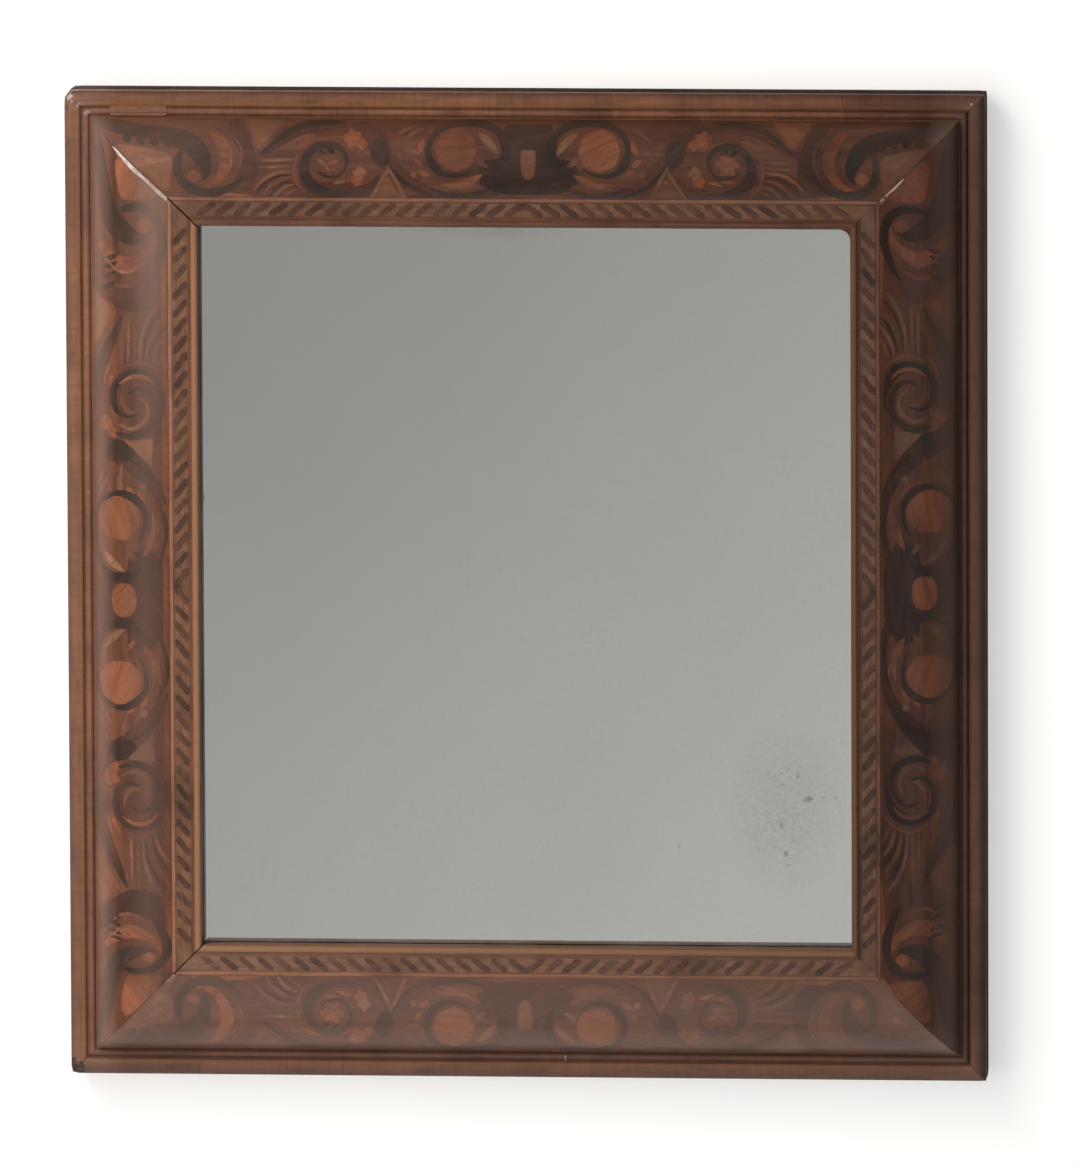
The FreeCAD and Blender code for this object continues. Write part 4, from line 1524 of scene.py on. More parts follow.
@dataclass(frozen=True)
class Cushion:
    """Half-round cushion with its ground veneer and the marquetry let into it."""

    curve: CushionCurve = CushionCurve()
    steps: int = 34
    grid: float = 2.4
    sink: float = 0.5
    margin: float = 0.3
    template_half: float = 320.0
    stretch_start: float = 160.0
    stretch_end: float = 215.0
    drifts: dict[Side, float] = field(default_factory=lambda: {LEFT: -8.7, TOP: 4.0})
    drift_start: float = 225.0
    drift_fade: float = 55.0
    pulls: dict[Side, float] = field(default_factory=lambda: {TOP: 3.0, BOTTOM: 7.0})
    pull_start: float = 60.0
    shifts: Flat = (0.5, 0.35)
    most_turn: float = 0.9
    seed: int = 7
    # Pale worn wood along four mitres, with a painted highlight where the raised edge catches the light
    wear: tuple[MitreWear, ...] = (
        MitreWear(LEFT, Hand.AFTER, 36.0, 76.0, 4.6, 1.0),
        MitreWear(RIGHT, Hand.BEFORE, 54.0, 74.0, 2.4, 0.9),
        MitreWear(BOTTOM, Hand.AFTER, 58.0, 76.0, 1.6, 0.5),
        MitreWear(RIGHT, Hand.AFTER, 60.0, 74.0, 1.4, 0.4),
    )

    def outline(self) -> list[Flat]:
        """Section of the bent veneer, up the outside and back along the inside."""
        marks = [self.curve.girth * k / self.steps for k in range(self.steps + 1)]
        outside = [self.curve.at(mark) for mark in marks]
        inside = [self.curve.at(mark, -self.curve.thick) for mark in reversed(marks[:: self.steps // 8])]
        return outside + inside

    def stretched(self, rail: Rail, along: float) -> float:
        """Takes the template's distance along to a side.

        Args:
            rail: The side; its extra length lies between roundel and volute.
            along: Distance from the middle on the template.

        Returns:
            Distance from the middle on the side, where some roundels sit further in.
        """
        share = smooth_step((along - self.stretch_start) / (self.stretch_end - self.stretch_start))
        pull = self.pulls.get(rail.side, 0.0) * smooth_step(along / self.pull_start - 1) * (1 - share)
        return along + (rail.half_length - self.template_half) * share - pull

    def drift(self, side: Side, along: float) -> float:
        """How far the pattern of a side is off its middle, less and less towards the mitres."""
        fade = smooth_step((abs(along) - self.drift_start) / self.drift_fade)
        return self.drifts.get(side, 0.0) * (1 - fade)

    def trimmed(self, rail: Rail, spots: list[Flat]) -> list[Flat]:
        """Cuts an outline of (along, across) spots by the edges of the veneer and by the mitre.

        Args:
            rail: The side that the piece is on.
            spots: The outline, all on the far half or across the middle.

        Returns:
            What is left of the outline.
        """
        across_end = self.curve.end - self.curve.start
        limit = rail.mitre(self.curve.start) - self.margin
        cuts = (
            (lambda s: s[1] - self.margin),
            (lambda s: across_end - self.margin - s[1]),
            (lambda s: limit - s[0] - s[1]),
        )
        for inside in cuts:
            kept: list[Flat] = []
            for number, here in enumerate(spots):
                before = spots[number - 1]
                room, room_before = inside(here), inside(before)
                if (room < 0) != (room_before < 0):
                    share = room_before / (room_before - room)
                    kept.append(tuple(Vector(before).lerp(Vector(here), share)))
                if room >= 0:
                    kept.append(here)
            spots = kept
        return spots

    def inlay(self, rail: Rail, spots: list[Flat], lift: float, tone: float, turn: float) -> Shell:
        """Bends a flat piece over the cushion as a thin closed shell.

        Args:
            rail: The side that the piece is on.
            spots: Its outline as (run, across).
            lift: How far it stands over the ground sheet.
            tone: Its own tone, from 0 to 1.
            turn: Direction of its grain, in radians.

        Returns:
            The closed shell.
        """
        curve = self.curve
        edge = filled(spots, self.grid)
        border = [Vector((run, curve.girth_at(curve.start + across))) for run, across in edge]
        low, high = ([pick(s[k] for s in border) for k in range(2)] for pick in (min, max))
        inner = [
            Vector((run, girth))
            for run in np.arange(low[0] + self.grid / 2, high[0], self.grid)
            for girth in np.arange(low[1] + self.grid / 2, high[1], self.grid)
        ]
        flat, _, faces, *_ = delaunay_2d_cdt(border + inner, [], [list(range(len(border)))], 1, 1e-4)
        over, under = (
            [rail.spot(s.x, *curve.at(s.y, rise)) for s in flat] for rise in (lift, -self.sink)
        )
        cosine, sine = math.cos(turn) * MM, math.sin(turn) * MM
        grain = [(s.x * cosine - s.y * sine, s.x * sine + s.y * cosine) for s in flat]
        shell, rim = slab(over, under, faces, grain)
        shell.values = {TONE: [tone] * (2 * len(flat)), EDGE: [float(k in rim) for k in range(len(flat))] * 2}
        return shell

    def inlays(self, rail: Rail) -> dict[Wood, Shell]:
        """Cuts the whole template for one side.

        Args:
            rail: The side to cut it for.

        Returns:
            One shell for each wood.
        """
        chance = random.Random(f"{self.seed} {rail.side.label}")
        shells = {wood: Shell() for wood in Wood}
        for motif in TEMPLATE:
            for hand in motif.hands if rail.side in motif.sides else ():
                shift = [chance.uniform(-most, most) for most in self.shifts]
                tone, turn = chance.random(), chance.uniform(-self.most_turn, self.most_turn)
                spots = [(self.stretched(rail, a + shift[0]), b + shift[1]) for a, b in motif.shape.outline()]
                spots = self.trimmed(rail, spots)
                if len(spots) < 3:
                    continue
                spots = [(a * hand.value + self.drift(rail.side, a), b) for a, b in spots]
                lift = motif.wood.value[0] + motif.extra_lift
                shells[motif.wood].add(self.inlay(rail, spots, lift, tone, turn))
        return shells

    def build(self) -> None:
        """Makes the veneer and the marquetry of all four sides."""
        for side in Side:
            rail = Rail(side)
            rail.lay(
                "ground_veneer",
                Finish.GROUND,
                "marquetry",
                self.outline(),
                lambda run, spot: max(wear.share(rail, run, spot[0]) for wear in self.wear),
            )
            for wood, shell in self.inlays(rail).items():
                _, label, finish = wood.value
                if shell.places:
                    shell.settle(f"{label}_{side.label}", finish, "marquetry")


class Socket(Enum):
    """Kinds of input that a node tree takes."""

    GEOMETRY = "NodeSocketGeometry"
    OBJECT = "NodeSocketObject"
    MATERIAL = "NodeSocketMaterial"
    LENGTH = "NodeSocketFloat"
    COUNT = "NodeSocketInt"


class Repeater(Tree):
    """Geometry Nodes tree that repeats small pieces, ends in plain mesh and sets its finish."""

    def __init__(self, name: str, inputs: dict[str, Socket]) -> None:
        """Makes the tree with its inputs and its output."""
        super().__init__(bpy.data.node_groups.new(name, "GeometryNodeTree"))
        self.tree.is_modifier = True
        face = self.tree.interface
        self.keys = {
            label: face.new_socket(label, in_out="INPUT", socket_type=kind.value).identifier
            for label, kind in inputs.items()
        }
        face.new_socket("Mesh", in_out="OUTPUT", socket_type=Socket.GEOMETRY.value)
        self.given = self.node("NodeGroupInput").outputs

    def close(self, geometry: NodeSocket) -> None:
        """Ends the tree: plain mesh, with its finish."""
        plain = self.out("GeometryNodeRealizeInstances", {"Geometry": geometry})
        inputs = {"Geometry": plain, "Material": self.given["Material"]}
        self.node("NodeGroupOutput", {0: self.out("GeometryNodeSetMaterial", inputs)})

    def run(self, name: str, carrier: Mesh, values: dict[str, object]) -> Object:
        """Evaluates the tree on a carrier mesh and keeps the result as a plain piece.

        Args:
            name: Name of the piece.
            carrier: Mesh that the tree starts from.
            values: Values for the named inputs.

        Returns:
            The piece.
        """
        piece = placed(name, carrier)
        modifier = piece.modifiers.new(name, "NODES")
        modifier.node_group = self.tree
        for label, value in values.items():
            modifier[self.keys[label]] = value
        depsgraph = bpy.context.evaluated_depsgraph_get()
        depsgraph.update()
        mesh = bpy.data.meshes.new_from_object(
            piece.evaluated_get(depsgraph), preserve_all_data_layers=True, depsgraph=depsgraph
        )
        piece.modifiers.clear()
        piece.data = mesh
        mesh.name = name
        bpy.data.meshes.remove(carrier)
        return piece


def pattern_piece(name: str, shell: Shell, finish: Finish) -> Object:
    """Small piece for a tree to repeat, kept out of the picture."""
    made = shell.piece(name, finish)
    made.hide_render = True
    return made


def scatter(name: str, shell: Shell, spots: Sequence[Spot], finish: Finish, seed: int) -> Object:
    """Sets copies of a fixing on spots, each turned by chance about its own axis along Y.

    Args:
        name: Name of the piece.
        shell: The fixing, with its axis through the origin.
        spots: Places of the copies, in metres.
        finish: Its finish.
        seed: Seed of the turning.

    Returns:
        The piece with all copies.
    """
    inputs = {"Spots": Socket.GEOMETRY, "Fixing": Socket.OBJECT, "Spin": Socket.LENGTH, "Seed": Socket.COUNT}
    repeater = Repeater(f"{name}_tree", {**inputs, "Material": Socket.MATERIAL})
    given = repeater.given
    fixing = repeater.node("GeometryNodeObjectInfo", {"Object": given["Fixing"]}).outputs["Geometry"]
    inputs = {"Seed": given["Seed"], 2: repeater.times(given["Spin"], -1.0), 3: given["Spin"]}
    chance = repeater.node("FunctionNodeRandomValue", inputs, data_type="FLOAT").outputs[1]
    turn = repeater.out("ShaderNodeCombineXYZ", {"Y": chance})
    inputs = {"Points": given["Spots"], "Instance": fixing, "Rotation": turn}
    repeater.close(repeater.out("GeometryNodeInstanceOnPoints", inputs))
    pattern = pattern_piece(f"{name}_pattern", shell, finish)
    carrier = bpy.data.meshes.new("carrier")
    carrier.from_pydata(spots, [], [])
    values = {"Fixing": pattern, "Spin": math.pi, "Seed": seed, "Material": finish.material}
    made = repeater.run(name, carrier, values)
    bpy.data.objects.remove(pattern)
    return made


@dataclass(frozen=True)
class SightSlip:
    """Sloping slip with its light string, its rope-twist string and the bead at the sight edge."""

    seat_height: float = CORE_FRONT + 15.5
    shoulder: float = CORE_FRONT + 18.0
    start: float = 72.6
    string_end: float = 75.1
    bead_start: float = 88.0
    sight: float = 93.0
    sight_height: float = CORE_FRONT + 15.0
    bead_swell: float = 1.4
    rope_margin: float = 0.8
    rope_width: float = 10.0
    rope_thick: float = 1.5
    pitch: float = 12.6
    strand_width: float = 7.0
    strand_rise: float = 0.5
    strand_lean: float = 4.4
    strand_bulge: float = 0.18
    strand_gap: float = 0.4
    strand_sink: float = 0.4
    strand_base: float = 0.05
    ease: float = 0.35
    corner_radius: float = 8.0
    corner_steps: int = 10
    corner_overlap: float = 0.4
    strand_least: Spot = (0.86, 0.97, 0.8)
    strand_most: Spot = (1.1, 1.0, 1.1)
    openings: dict[Side, float] = field(default_factory=lambda: {LEFT: 1.6, BOTTOM: 1.3})

    def on_slope(self, distance: float, lift: float) -> Flat:
        """Spot along the slope, lifted square to it, as (depth, height)."""
        run, fall = self.bead_start - self.string_end, self.shoulder - self.sight_height
        slope = math.hypot(run, fall)
        return (
            self.string_end + (run * distance + fall * lift) / slope,
            self.shoulder - (fall * distance - run * lift) / slope,
        )

    def rope_seat(self) -> list[Flat]:
        """Section of the seat that the rope string lies in."""
        start, end = self.rope_margin, self.rope_margin + self.rope_width
        marks = ((start, 0), (start, -self.rope_thick), (end, -self.rope_thick), (end, 0))
        return [self.on_slope(*mark) for mark in marks]

    def slip_outline(self) -> list[Flat]:
        """Section of the slip, with the seats of both strings."""
        bead_start = (self.bead_start, self.sight_height)
        return [
            (self.start, CORE_FRONT),
            (self.start, self.seat_height),
            (self.string_end, self.seat_height),
            (self.string_end, self.shoulder),
            *self.rope_seat(),
            bead_start,
            *bead(bead_start, (self.sight, self.sight_height), self.bead_swell, 8),
            (self.sight, CORE_FRONT),
        ]

    def bead_share(self, run: float, spot: Flat) -> float:
        """Whether a spot is on the lighter bead at the sight edge."""
        return float(spot[0] > self.bead_start + 0.2 and spot[1] > self.sight_height - 2)

    def corner_filler(self) -> Shell:
        """Small hollow-cut filler in the upper right corner of the sight edge."""
        x, z, radius = HALF_WIDTH - self.sight, HALF_HEIGHT - self.sight, self.corner_radius
        angles = [math.pi / 2 * k / self.corner_steps for k in range(self.corner_steps + 1)]
        hollow = [(x - radius + radius * math.cos(a), z - radius + radius * math.sin(a)) for a in angles]
        right, top = x + self.corner_overlap, z + self.corner_overlap
        outline = [(right, top), (right, hollow[0][1]), *hollow, (hollow[-1][0], top)]
        shell = Shell()
        for height in (CORE_FRONT + 0.05, self.sight_height - 0.6, self.sight_height - 0.1):
            shell.places += [(u * MM, -height * MM, v * MM) for u, v in outline]
        return close_rings(shell, 3, len(outline))

    def string_outline(self) -> list[Flat]:
        """Section of the light string, a little round on its face."""
        low, high = self.seat_height, self.shoulder
        corners = [(self.start, low), (self.string_end, low), (self.string_end, high), (self.start, high)]
        return eased(corners, self.ease)

    def rope_outline(self) -> list[Flat]:
        """Section of the light strip that the strands lie in."""
        first, *others = self.rope_seat()
        return [*others, first]

    def strand(self, hand: Hand) -> Shell:
        """One dark strand of the twist: a bent, domed lozenge, along X, across Y and up Z."""
        rows, columns = 7, 5
        over = []
        for row in range(rows):
            share = row / (rows - 1) - 0.5
            bulge = self.strand_bulge * math.sin(2 * math.pi * share)
            swing = self.strand_lean * (2 * share + bulge) * hand.value
            half = self.strand_width / 2 * (1 - 1.5 * share * share)
            for column in range(columns):
                side = 2 * column / (columns - 1) - 1
                rise = self.strand_rise * (1 - side * side) * (1 - 3 * share * share) + self.strand_base
                across = share * (self.rope_width - self.strand_gap)
                over.append(((swing + side * half) * MM, across * MM, rise * MM))
        under = [(x, y, -self.strand_sink * MM) for x, y, _ in over]
        starts = [row * columns + column for row in range(rows - 1) for column in range(columns - 1)]
        faces = [(near, near + 1, near + columns + 1, near + columns) for near in starts]
        return slab(over, under, faces, [place[:2] for place in over])[0]

    def rope_tree(self) -> Repeater:
        """Tree that lays strands along both halves of a side, leaning opposite ways.

        Returns:
            The tree with its named inputs.
        """
        strands = {Hand.BEFORE: "Strand Before", Hand.AFTER: "Strand After"}
        inputs = {"Carrier": Socket.GEOMETRY} | {label: Socket.OBJECT for label in strands.values()}
        inputs |= {"Count": Socket.COUNT, "Pitch": Socket.LENGTH, "Seed": Socket.COUNT}
        tree = Repeater("rope_strands", {**inputs, "Material": Socket.MATERIAL})
        given = tree.given
        halves = []
        for hand, label in strands.items():
            step = tree.times(given["Pitch"], float(hand.value))
            first = tree.out("ShaderNodeCombineXYZ", {"X": tree.times(step, 0.5)})
            offset = tree.out("ShaderNodeCombineXYZ", {"X": step})
            inputs = {"Count": given["Count"], "Start Location": first, "Offset": offset}
            line = tree.out("GeometryNodeMeshLine", inputs)
            strand = tree.node("GeometryNodeObjectInfo", {"Object": given[label]}).outputs["Geometry"]
            inputs = {"Seed": given["Seed"], "Min": self.strand_least, "Max": self.strand_most}
            grown = tree.out("FunctionNodeRandomValue", inputs, data_type="FLOAT_VECTOR")
            inputs = {"Points": line, "Instance": strand, "Scale": grown}
            laid = tree.out("GeometryNodeInstanceOnPoints", inputs)
            tone = tree.node("FunctionNodeRandomValue", {"Seed": given["Seed"]}, data_type="FLOAT").outputs[1]
            inputs = {"Geometry": laid, "Name": TONE, "Value": tone}
            kind = "GeometryNodeStoreNamedAttribute"
            halves.append(tree.out(kind, inputs, data_type="FLOAT", domain="INSTANCE"))
        joined = tree.node("GeometryNodeJoinGeometry")
        for half in reversed(halves):
            tree.feed(joined.inputs[0], half)
        tree.close(joined.outputs[0])
        return tree

    def rope_matrix(self, rail: Rail) -> Matrix:
        """Takes a strand's own directions to the slope of a side."""
        middle = self.rope_margin + self.rope_width / 2
        depth, height = self.on_slope(middle, 0)
        next_depth, next_height = self.on_slope(middle + 1, 0)
        way, out = rail.side.value
        inward = rail.reach - depth
        step = next_depth - depth
        origin = Vector((out[0] * inward, -height, out[1] * inward)) * MM
        along = Vector((way[0], 0, way[1]))
        across = Vector((-out[0] * step, height - next_height, -out[1] * step)).normalized()
        facing = Matrix((along, across, along.cross(across))).transposed().to_4x4()
        return Matrix.Translation(origin) @ facing

    def build(self) -> None:
        """Makes the slip, the strings and the strands of all four sides."""
        tree = self.rope_tree()
        patterns = {
            hand: pattern_piece(f"strand_{hand.name}", self.strand(hand), Finish.STRAND) for hand in Hand
        }
        rope_depth = self.on_slope(self.rope_margin + self.rope_width, 0)[0]
        for seed, side in enumerate(Side, 1):
            rail = Rail(side, self.openings.get(side, 0.0))
            light = None if side is TOP else self.bead_share
            rail.lay("slip_moulding", Finish.SLIP, "sight_slip", self.slip_outline(), light)
            rail.lay("pale_string", Finish.STRING, "light_string", self.string_outline())
            rail.lay("rope_strip", Finish.ROPE, "rope_string", self.rope_outline())
            values = {
                "Strand Before": patterns[Hand.BEFORE],
                "Strand After": patterns[Hand.AFTER],
                "Count": int((rail.mitre(rope_depth) - self.strand_lean) / self.pitch + 0.5),
                "Pitch": self.pitch * MM,
                "Seed": seed,
                "Material": Finish.STRAND.material,
            }
            strands = tree.run(f"rope_strands_{side.label}", bpy.data.meshes.new("carrier"), values)
            strands.data.transform(self.rope_matrix(rail))
            for vertex in strands.data.vertices:
                x, y, z = vertex.co / MM
                vertex.co.y -= CORNER_WEAR.wander(x, z, -y) * MM
            settle(strands, "rope_string")
        for pattern in patterns.values():
            bpy.data.objects.remove(pattern)
        self.corner_filler().settle("sight_corner_filler", Finish.SLIP, "sight_slip")


@dataclass(frozen=True)
class MirrorPlate:
    """Glass plate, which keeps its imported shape, and the silvering on its back."""

    bite: float = 0.06
    margin: float = 0.4
    crease: float = 20.0

    def coat(self) -> Shell:
        """Thin sheet of silvering that reaches a hair into the glass, so that no air lies between them."""
        low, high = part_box("mirror_silvering")
        wide, tall = high.x / MM - self.margin, high.z / MM - self.margin
        back, front = -high.y / MM, -low.y / MM + self.bite
        outline = [(-wide, back), (0, back), (wide, back), (wide, front), (0, front), (-wide, front)]
        return sweep(
            outline,
            lambda corner: tall,
            lambda run, corner: (corner[0] * MM, -corner[1] * MM, run * MM),
            pitch=40.0,
        )

    def build(self) -> None:
        """Dresses the glass and the blocks behind it, and makes the silvering."""
        dress_node("mirror_glass", Finish.GLASS)
        coat = self.coat().piece("silver_coat", Finish.SILVERING, self.crease)
        settle(coat, "silvering", "mirror_silvering")
        dress_node("glazing_blocks", Finish.RAIL_PINE)


@dataclass(frozen=True)
class CoreFrame:
    """Softwood core with lapped corners, its pegs, and the cushion cores under the veneer."""

    outer: float = 3.0
    inner: float = 82.0
    ease: float = 0.8
    peg_radius: float = 4.0
    peg_offset: float = 18.0
    peg_proud: float = 0.3
    peg_sides: int = 9

    def member_outline(self, rail: Rail) -> list[Flat]:
        """Outline of a member, as (run, height), with half its thickness cut away at the ends."""
        end = rail.half_length - self.outer
        lap = end - (self.inner - self.outer)
        middle = (CORE_BACK + CORE_FRONT) / 2
        tongue, other = (CORE_BACK, CORE_FRONT) if rail.side.upright else (CORE_FRONT, CORE_BACK)
        half = [(lap, other), (lap, middle), (end, middle), (end, tongue)]
        return eased([*((-run, height) for run, height in reversed(half)), *half], self.ease, 2)

    def member(self, rail: Rail) -> Shell:
        """One rail or stile."""
        middle, half = (self.outer + self.inner) / 2, (self.inner - self.outer) / 2
        return sweep(
            self.member_outline(rail),
            lambda corner: half,
            lambda run, corner: rail.spot(corner[0], middle + run, corner[1]),
            pitch=half,
        )

    def peg(self) -> Shell:
        """Whittled end of a peg, proud of the back by a hair."""
        proud = self.peg_proud
        rings = ((CORE_FRONT - CORE_BACK, 0.92), (0.6, 1.0), (-proud * 0.3, 0.97), (-proud, 0.7))
        return turned(
            rings, self.peg_radius, self.peg_sides, lambda angle: 1 + 0.05 * math.sin(3 * angle + 1)
        )

    def build(self) -> None:
        """Makes the core members and the pegs, and dresses the cushion cores."""
        for side in Side:
            kind, finish = ("stile", Finish.STILE_PINE) if side.upright else ("rail", Finish.RAIL_PINE)
            member = self.member(Rail(side))
            member.settle(f"pine_{kind}_{side.label}", finish, "softwood", f"core_{kind}_{side.label}")
            dress_node(f"cushion_{side.label}", finish)
        across = (self.outer + self.inner) / 2
        spots = []
        for way_x, way_z in ((-1, -1), (-1, 1), (1, -1), (1, 1)):
            for step in (-self.peg_offset, self.peg_offset):
                x, z = way_x * (HALF_WIDTH - across + step), way_z * (HALF_HEIGHT - across + step)
                spots.append((x * MM, -CORE_BACK * MM, z * MM))
        settle(scatter("whittled_pegs", self.peg(), spots, Finish.PEG, seed=11), "pegs", "lap_pegs")


@dataclass(frozen=True)
class Back:
    """Three lapped upright boards and the forged nails that hold them."""

    thick: float = 8.0
    lap: float = 8.0
    gap: float = 0.6
    ease: float = 0.9
    ripple: float = 0.35
    ripple_sizes: Flat = (45.0, 120.0)
    ripple_layer: float = 8.0
    fill: float = 14.0
    pitch: float = 24.0
    nail_inset: float = 10.0
    nail_spread: float = 55.0
    nail_side_reach: float = 140.0
    nail_radius: float = 4.0
    nail_rise: float = 0.35
    half_width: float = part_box("backboard_right")[1].x / MM
    half_height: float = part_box("backboard_right")[1].z / MM

    def outlines(self) -> dict[str, list[Flat]]:
        """Section of each board, as (across, height)."""
        wide, thick = self.half_width, self.thick
        seam, half = wide / 3, thick / 2
        inner = seam - self.lap
        middle = [(seam, 0.0), (seam, half), (inner, half), (inner, thick)]
        side = [(wide, 0.0), *((across + self.gap, height) for across, height in middle), (wide, thick)]
        return {
            "right": side,
            "left": [(-across, height) for across, height in side],
            "centre": middle + [(-across, height) for across, height in reversed(middle)],
        }

    def place(self, run: float, corner: Flat) -> Spot:
        """Place of a board's spot, with the wander of its planed back."""
        wide, tall = self.ripple_sizes
        spot = Vector((corner[0] / wide, run / tall, self.ripple_layer))
        wander = self.ripple * (0.5 + 0.5 * noise.noise(spot))
        height = corner[1] + (wander if corner[1] < self.thick / 3 else 0.0)
        return corner[0] * MM, -height * MM, run * MM

    def nail_head(self) -> Shell:
        """Hammered head with facets, on a short shank."""
        rise = self.nail_rise
        rings = ((8.0, 0.28), (2.0, 0.3), (1.0, 0.9), (0.2, 1.0), (-rise * 0.5, 0.72), (-rise, 0.3))
        return turned(
            rings,
            self.nail_radius,
            8,
            lambda angle: 1 + 0.08 * math.cos(2 * angle) + 0.05 * math.sin(5 * angle),
        )

    def nail_spots(self) -> list[Spot]:
        """Places of the nails along the ends and the outer edges of the boards."""
        end_z = self.half_height - self.nail_inset
        edge_x = self.half_width - self.nail_inset
        pitch = self.half_width * 2 / 3
        spots = []
        for way_z in (-1, 1):
            for board in (-1, 0, 1):
                for step in (-self.nail_spread, self.nail_spread):
                    spots.append(((pitch * board + step) * MM, 0.0, end_z * way_z * MM))
            for way_x in (-1, 1):
                spots.append((edge_x * way_x * MM, 0.0, self.nail_side_reach * way_z * MM))
        return spots

    def build(self) -> None:
        """Makes the boards and the nails."""
        for name, corners in self.outlines().items():
            outline = filled(eased(corners, self.ease, 2), self.fill, round)
            shell = sweep(outline, lambda corner: self.half_height, self.place, self.pitch)
            shell.settle(f"pine_board_{name}", Finish.BOARD_PINE, "backboard", f"backboard_{name}")
        nails = scatter("forged_nails", self.nail_head(), self.nail_spots(), Finish.IRON, seed=5)
        settle(nails, "iron", "backboard_nails")


@dataclass(frozen=True)
class Hangers:
    """Strap hangers on the stiles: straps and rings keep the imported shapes, and the screws are slotted."""

    inset: float = 31.0
    height: float = 170.0
    strap: float = 1.2
    drop: float = 10.0
    spacing: float = 19.0
    head_radius: float = 3.2
    dome: float = 0.5
    slot_width: float = 0.8
    slot_depth: float = 0.7
    steps: int = 12

    def screw(self) -> Shell:
        """Slotted countersunk screw, with its slot across X."""
        start = math.asin(self.slot_width / 2 / self.head_radius)
        angles = [start + (math.pi - 2 * start) * k / self.steps for k in range(self.steps + 1)]
        shell = Shell()
        for way in (-1, 1):
            radius = self.head_radius * way
            spots = [(radius * math.cos(angle), radius * math.sin(angle)) for angle in angles]
            shell.add(self.half_head(spots))
        shell.add(self.shank())
        return shell

    def half_head(self, spots: list[Flat]) -> Shell:
        """Half of the head on one side of the slot, domed on top."""
        shell = Shell()
        for depth, share in ((1.8, 0.9), (0.0, 1.0), (-self.dome * 0.7, 0.7)):
            for x, z in spots:
                held = math.copysign(max(abs(z * share), self.slot_width / 2), z)
                shell.places.append((x * share * MM, -depth * MM, held * MM))
        return close_rings(shell, 3, len(spots))

    def shank(self) -> Shell:
        """Shank that reaches up to the bottom of the slot."""
        return turned(((12.0, 1.2), (1.8, 1.5), (self.slot_depth, self.head_radius * 0.92)), 1.0, 14)

    def build(self) -> None:
        """Dresses the straps and the rings, and makes the screws."""
        spots = []
        for way, label in ((-1, "left"), (1, "right")):
            dress_node(f"hanger_strap_{label}", Finish.BRASS)
            dress_node(f"hanger_ring_{label}", Finish.BRASS)
            for number in range(2):
                x = way * (HALF_WIDTH - self.inset)
                z = self.height - self.drop - self.spacing * number
                spots.append((x * MM, (self.strap - CORE_BACK) * MM, z * MM))
        settle(scatter("slotted_screws", self.screw(), spots, Finish.BRASS, seed=3), "brass", "hanger_screws")


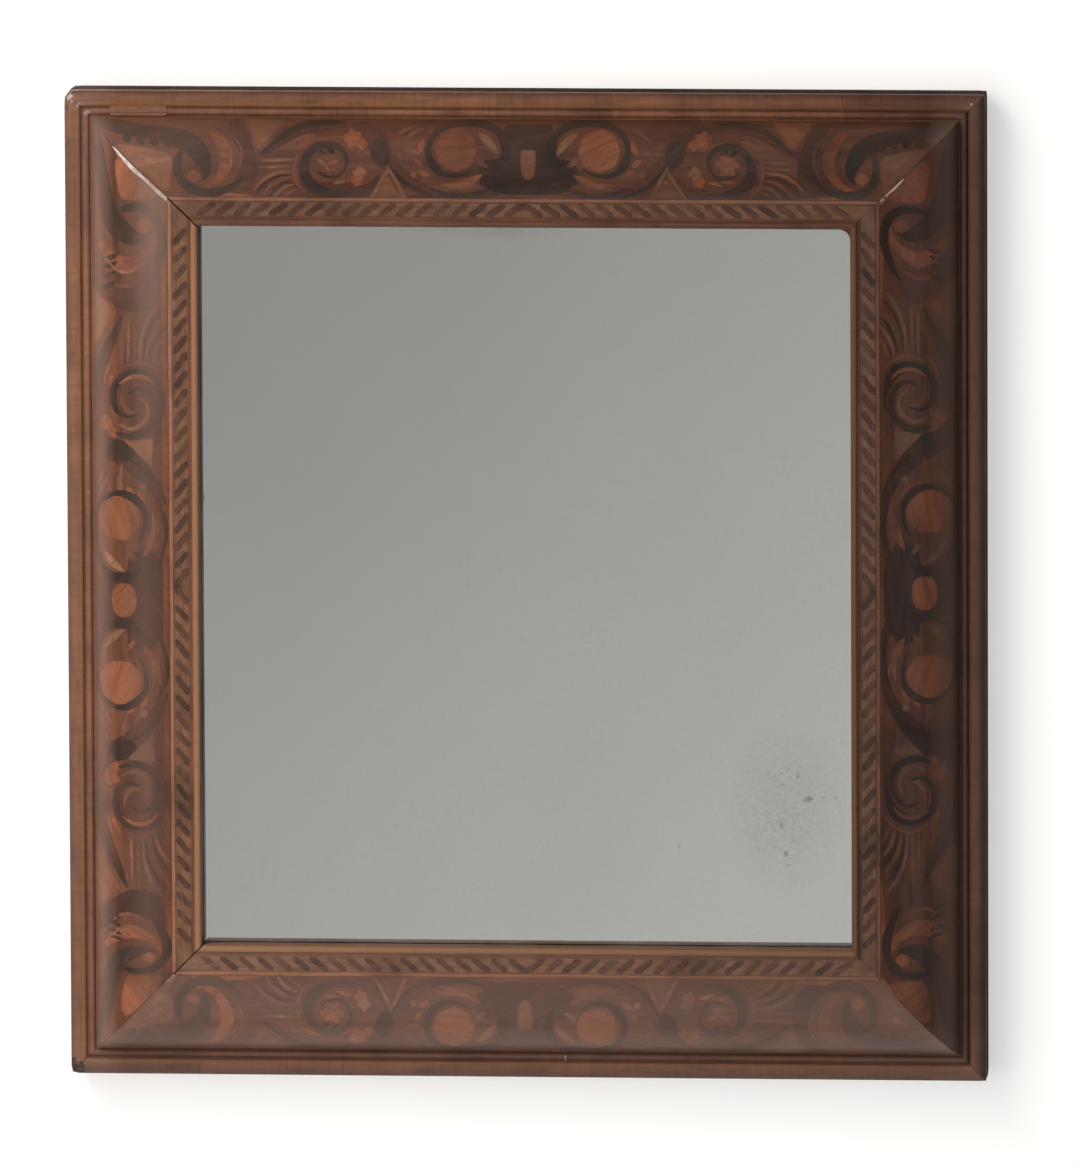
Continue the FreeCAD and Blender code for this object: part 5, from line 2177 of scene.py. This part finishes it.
@dataclass(frozen=True)
class Studio:
    """White wall and pale floor, soft lamps, and the camera of the photograph."""

    floor_drop: float = 0.9
    floor_reach: float = 1.0
    floor_back: float = 4.0
    wall_reach: float = 5.0
    wall_gap: float = 0.0005
    glow: float = 0.5
    paper_white: Colour = (244, 243, 241)
    base_light: float = 0.14
    left_light: float = 0.9
    low_light: float = 0.8
    ahead_light: float = 0.38
    behind_light: float = 0.4
    through_light: float = 0.52
    azimuth: float = 4.5
    elevation: float = 8.5
    roll: float = 0.25
    distance: float = 16.0
    aim: Spot = (0.0087, -0.021, -0.0002)
    picture_height: float = 1168.0
    frame_pixels: float = 920.0

    def paper(self, name: str, bounces: bool) -> Material:
        """White paper that the camera sees near white, only from its front, with the shadows on it.

        Args:
            name: Name of the material.
            bounces: Whether it throws light back onto the mirror, or lets all other light through.

        Returns:
            The material.
        """
        graph = Graph(name)
        graph.tree.nodes.remove(graph.shader)
        camera = graph.node("ShaderNodeLightPath").outputs["Is Camera Ray"]
        matt = graph.out("ShaderNodeBsdfDiffuse", {"Color": linear(self.paper_white)})
        glow = graph.out("ShaderNodeEmission", {"Color": (1, 1, 1, 1), "Strength": 1.0})
        shown = graph.out("ShaderNodeMixShader", {0: graph.times(camera, self.glow), 1: matt, 2: glow})
        clear = graph.out("ShaderNodeBsdfTransparent", {})
        behind = graph.node("ShaderNodeNewGeometry").outputs["Backfacing"]
        if bounces:
            hidden = graph.times(behind, camera)
        else:
            hidden = graph.most(behind, graph.maths("SUBTRACT", 1.0, camera))
        shown = graph.out("ShaderNodeMixShader", {0: hidden, 1: shown, 2: clear})
        graph.feed(graph.tree.nodes["Material Output"].inputs["Surface"], shown)
        return graph.material

    def sheet(self, name: str, corners: Sequence[Spot], material: Material) -> None:
        """Flat sheet of the stage."""
        mesh = bpy.data.meshes.new(name)
        mesh.from_pydata(corners, [], [tuple(range(len(corners)))])
        mesh.materials.append(material)
        placed(name, mesh)

    def lamp(
        self, name: str, place: Spot, watts: float, size: Flat, colour: Colour, glare: bool = True
    ) -> None:
        """Soft rectangular lamp that points at the mirror, with a crossed filter where it gives no glare."""
        light = bpy.data.lights.new(name, "AREA")
        light.shape = "RECTANGLE"
        light.energy = watts
        light.size, light.size_y = size
        light.color = linear(colour)[:3]
        made = placed(name, light)
        made.visible_glossy = made.visible_transmission = glare
        made.location = place
        made.rotation_euler = (-Vector(place)).to_track_quat("-Z", "Y").to_euler()

    def world(self) -> None:
        """Room light: white to the camera, and to other rays bright ahead, low down and far left."""
        world = bpy.data.worlds.new("studio")
        bpy.context.scene.world = world
        world.use_nodes = True
        tree = Tree(world.node_tree)
        source = tree.node("ShaderNodeTexCoord").outputs["Generated"]
        way = tree.node("ShaderNodeSeparateXYZ", {0: source}).outputs
        path = tree.node("ShaderNodeLightPath").outputs
        side = tree.most(tree.times(way["X"], -self.left_light), 0.0)
        below = tree.most(tree.times(way["Z"], -self.low_light), 0.0)
        grazing = tree.most(tree.times(tree.plus(way["Y"], 0.5), 0.75), 0.0)
        ahead = tree.maths("MINIMUM", tree.most(tree.times(tree.plus(way["Y"], 0.8), -8.0), 0.0), 1.0)
        ahead = tree.times(ahead, self.ahead_light)
        behind = tree.times(tree.most(way["Y"], 0.0), self.behind_light)
        room = tree.plus(self.base_light, tree.times(tree.plus(side, below), grazing), ahead, behind)
        through = tree.times(path["Is Transmission Ray"], self.through_light)
        level = tree.most(room, through, path["Is Camera Ray"])
        background = tree.tree.nodes["Background"].inputs
        tree.feed(background["Strength"], level)
        tree.feed(background["Color"], (1.0, 1.0, 1.0, 1.0))

    def camera(self) -> None:
        """Camera nearly square to the mirror, a little to the right of it and above."""
        turn, rise = math.radians(self.azimuth), math.radians(self.elevation)
        back = Vector((math.sin(turn) * math.cos(rise), -math.cos(turn) * math.cos(rise), math.sin(rise)))
        data = bpy.data.cameras.new("camera")
        pixels_per_metre = self.frame_pixels / (2 * HALF_WIDTH * MM)
        data.lens = data.sensor_width * pixels_per_metre * self.distance / self.picture_height
        made = placed("camera", data)
        made.location = Vector(self.aim) + back * self.distance
        level = (-back).to_track_quat("-Z", "Y")
        made.rotation_euler = (level @ Quaternion((0, 0, 1), -math.radians(self.roll))).to_euler()
        bpy.context.scene.camera = made

    def build(self) -> None:
        """Sets up the stage, the lamps, the world and the camera."""
        low = CAD_BOX[0].z - self.floor_drop
        wide, near, far = self.wall_reach, -self.floor_reach, self.floor_back
        floor = ((-wide, near, low), (wide, near, low), (wide, far, low), (-wide, far, low))
        self.sheet("floor", floor, self.paper("pale_floor", True))
        gap = self.wall_gap
        wall = ((-wide, gap, low), (wide, gap, low), (wide, gap, wide), (-wide, gap, wide))
        self.sheet("wall", wall, self.paper("white_wall", False))
        self.lamp("key", (-1.3, -2.1, 2.3), 78.0, (1.5, 1.5), (255, 250, 244), False)
        self.lamp("front_panel", (-0.9, -2.1, 0.1), 50.0, (2.4, 2.4), (255, 251, 246), False)
        self.lamp("back_fill", (-1.6, 3.0, 2.0), 60.0, (2.0, 2.0), (255, 252, 248))
        self.world()
        self.camera()
        bpy.context.scene.view_settings.view_transform = "Standard"


def main() -> None:
    """Builds every part of the mirror and the studio."""
    logging.basicConfig(level=logging.INFO, format="%(name)s %(message)s")
    for assembly in (OuterEdge(), Cushion(), SightSlip(), MirrorPlate(), CoreFrame(), Back(), Hangers()):
        assembly.build()
    Studio().build()


if __name__ == "__main__":
    main()
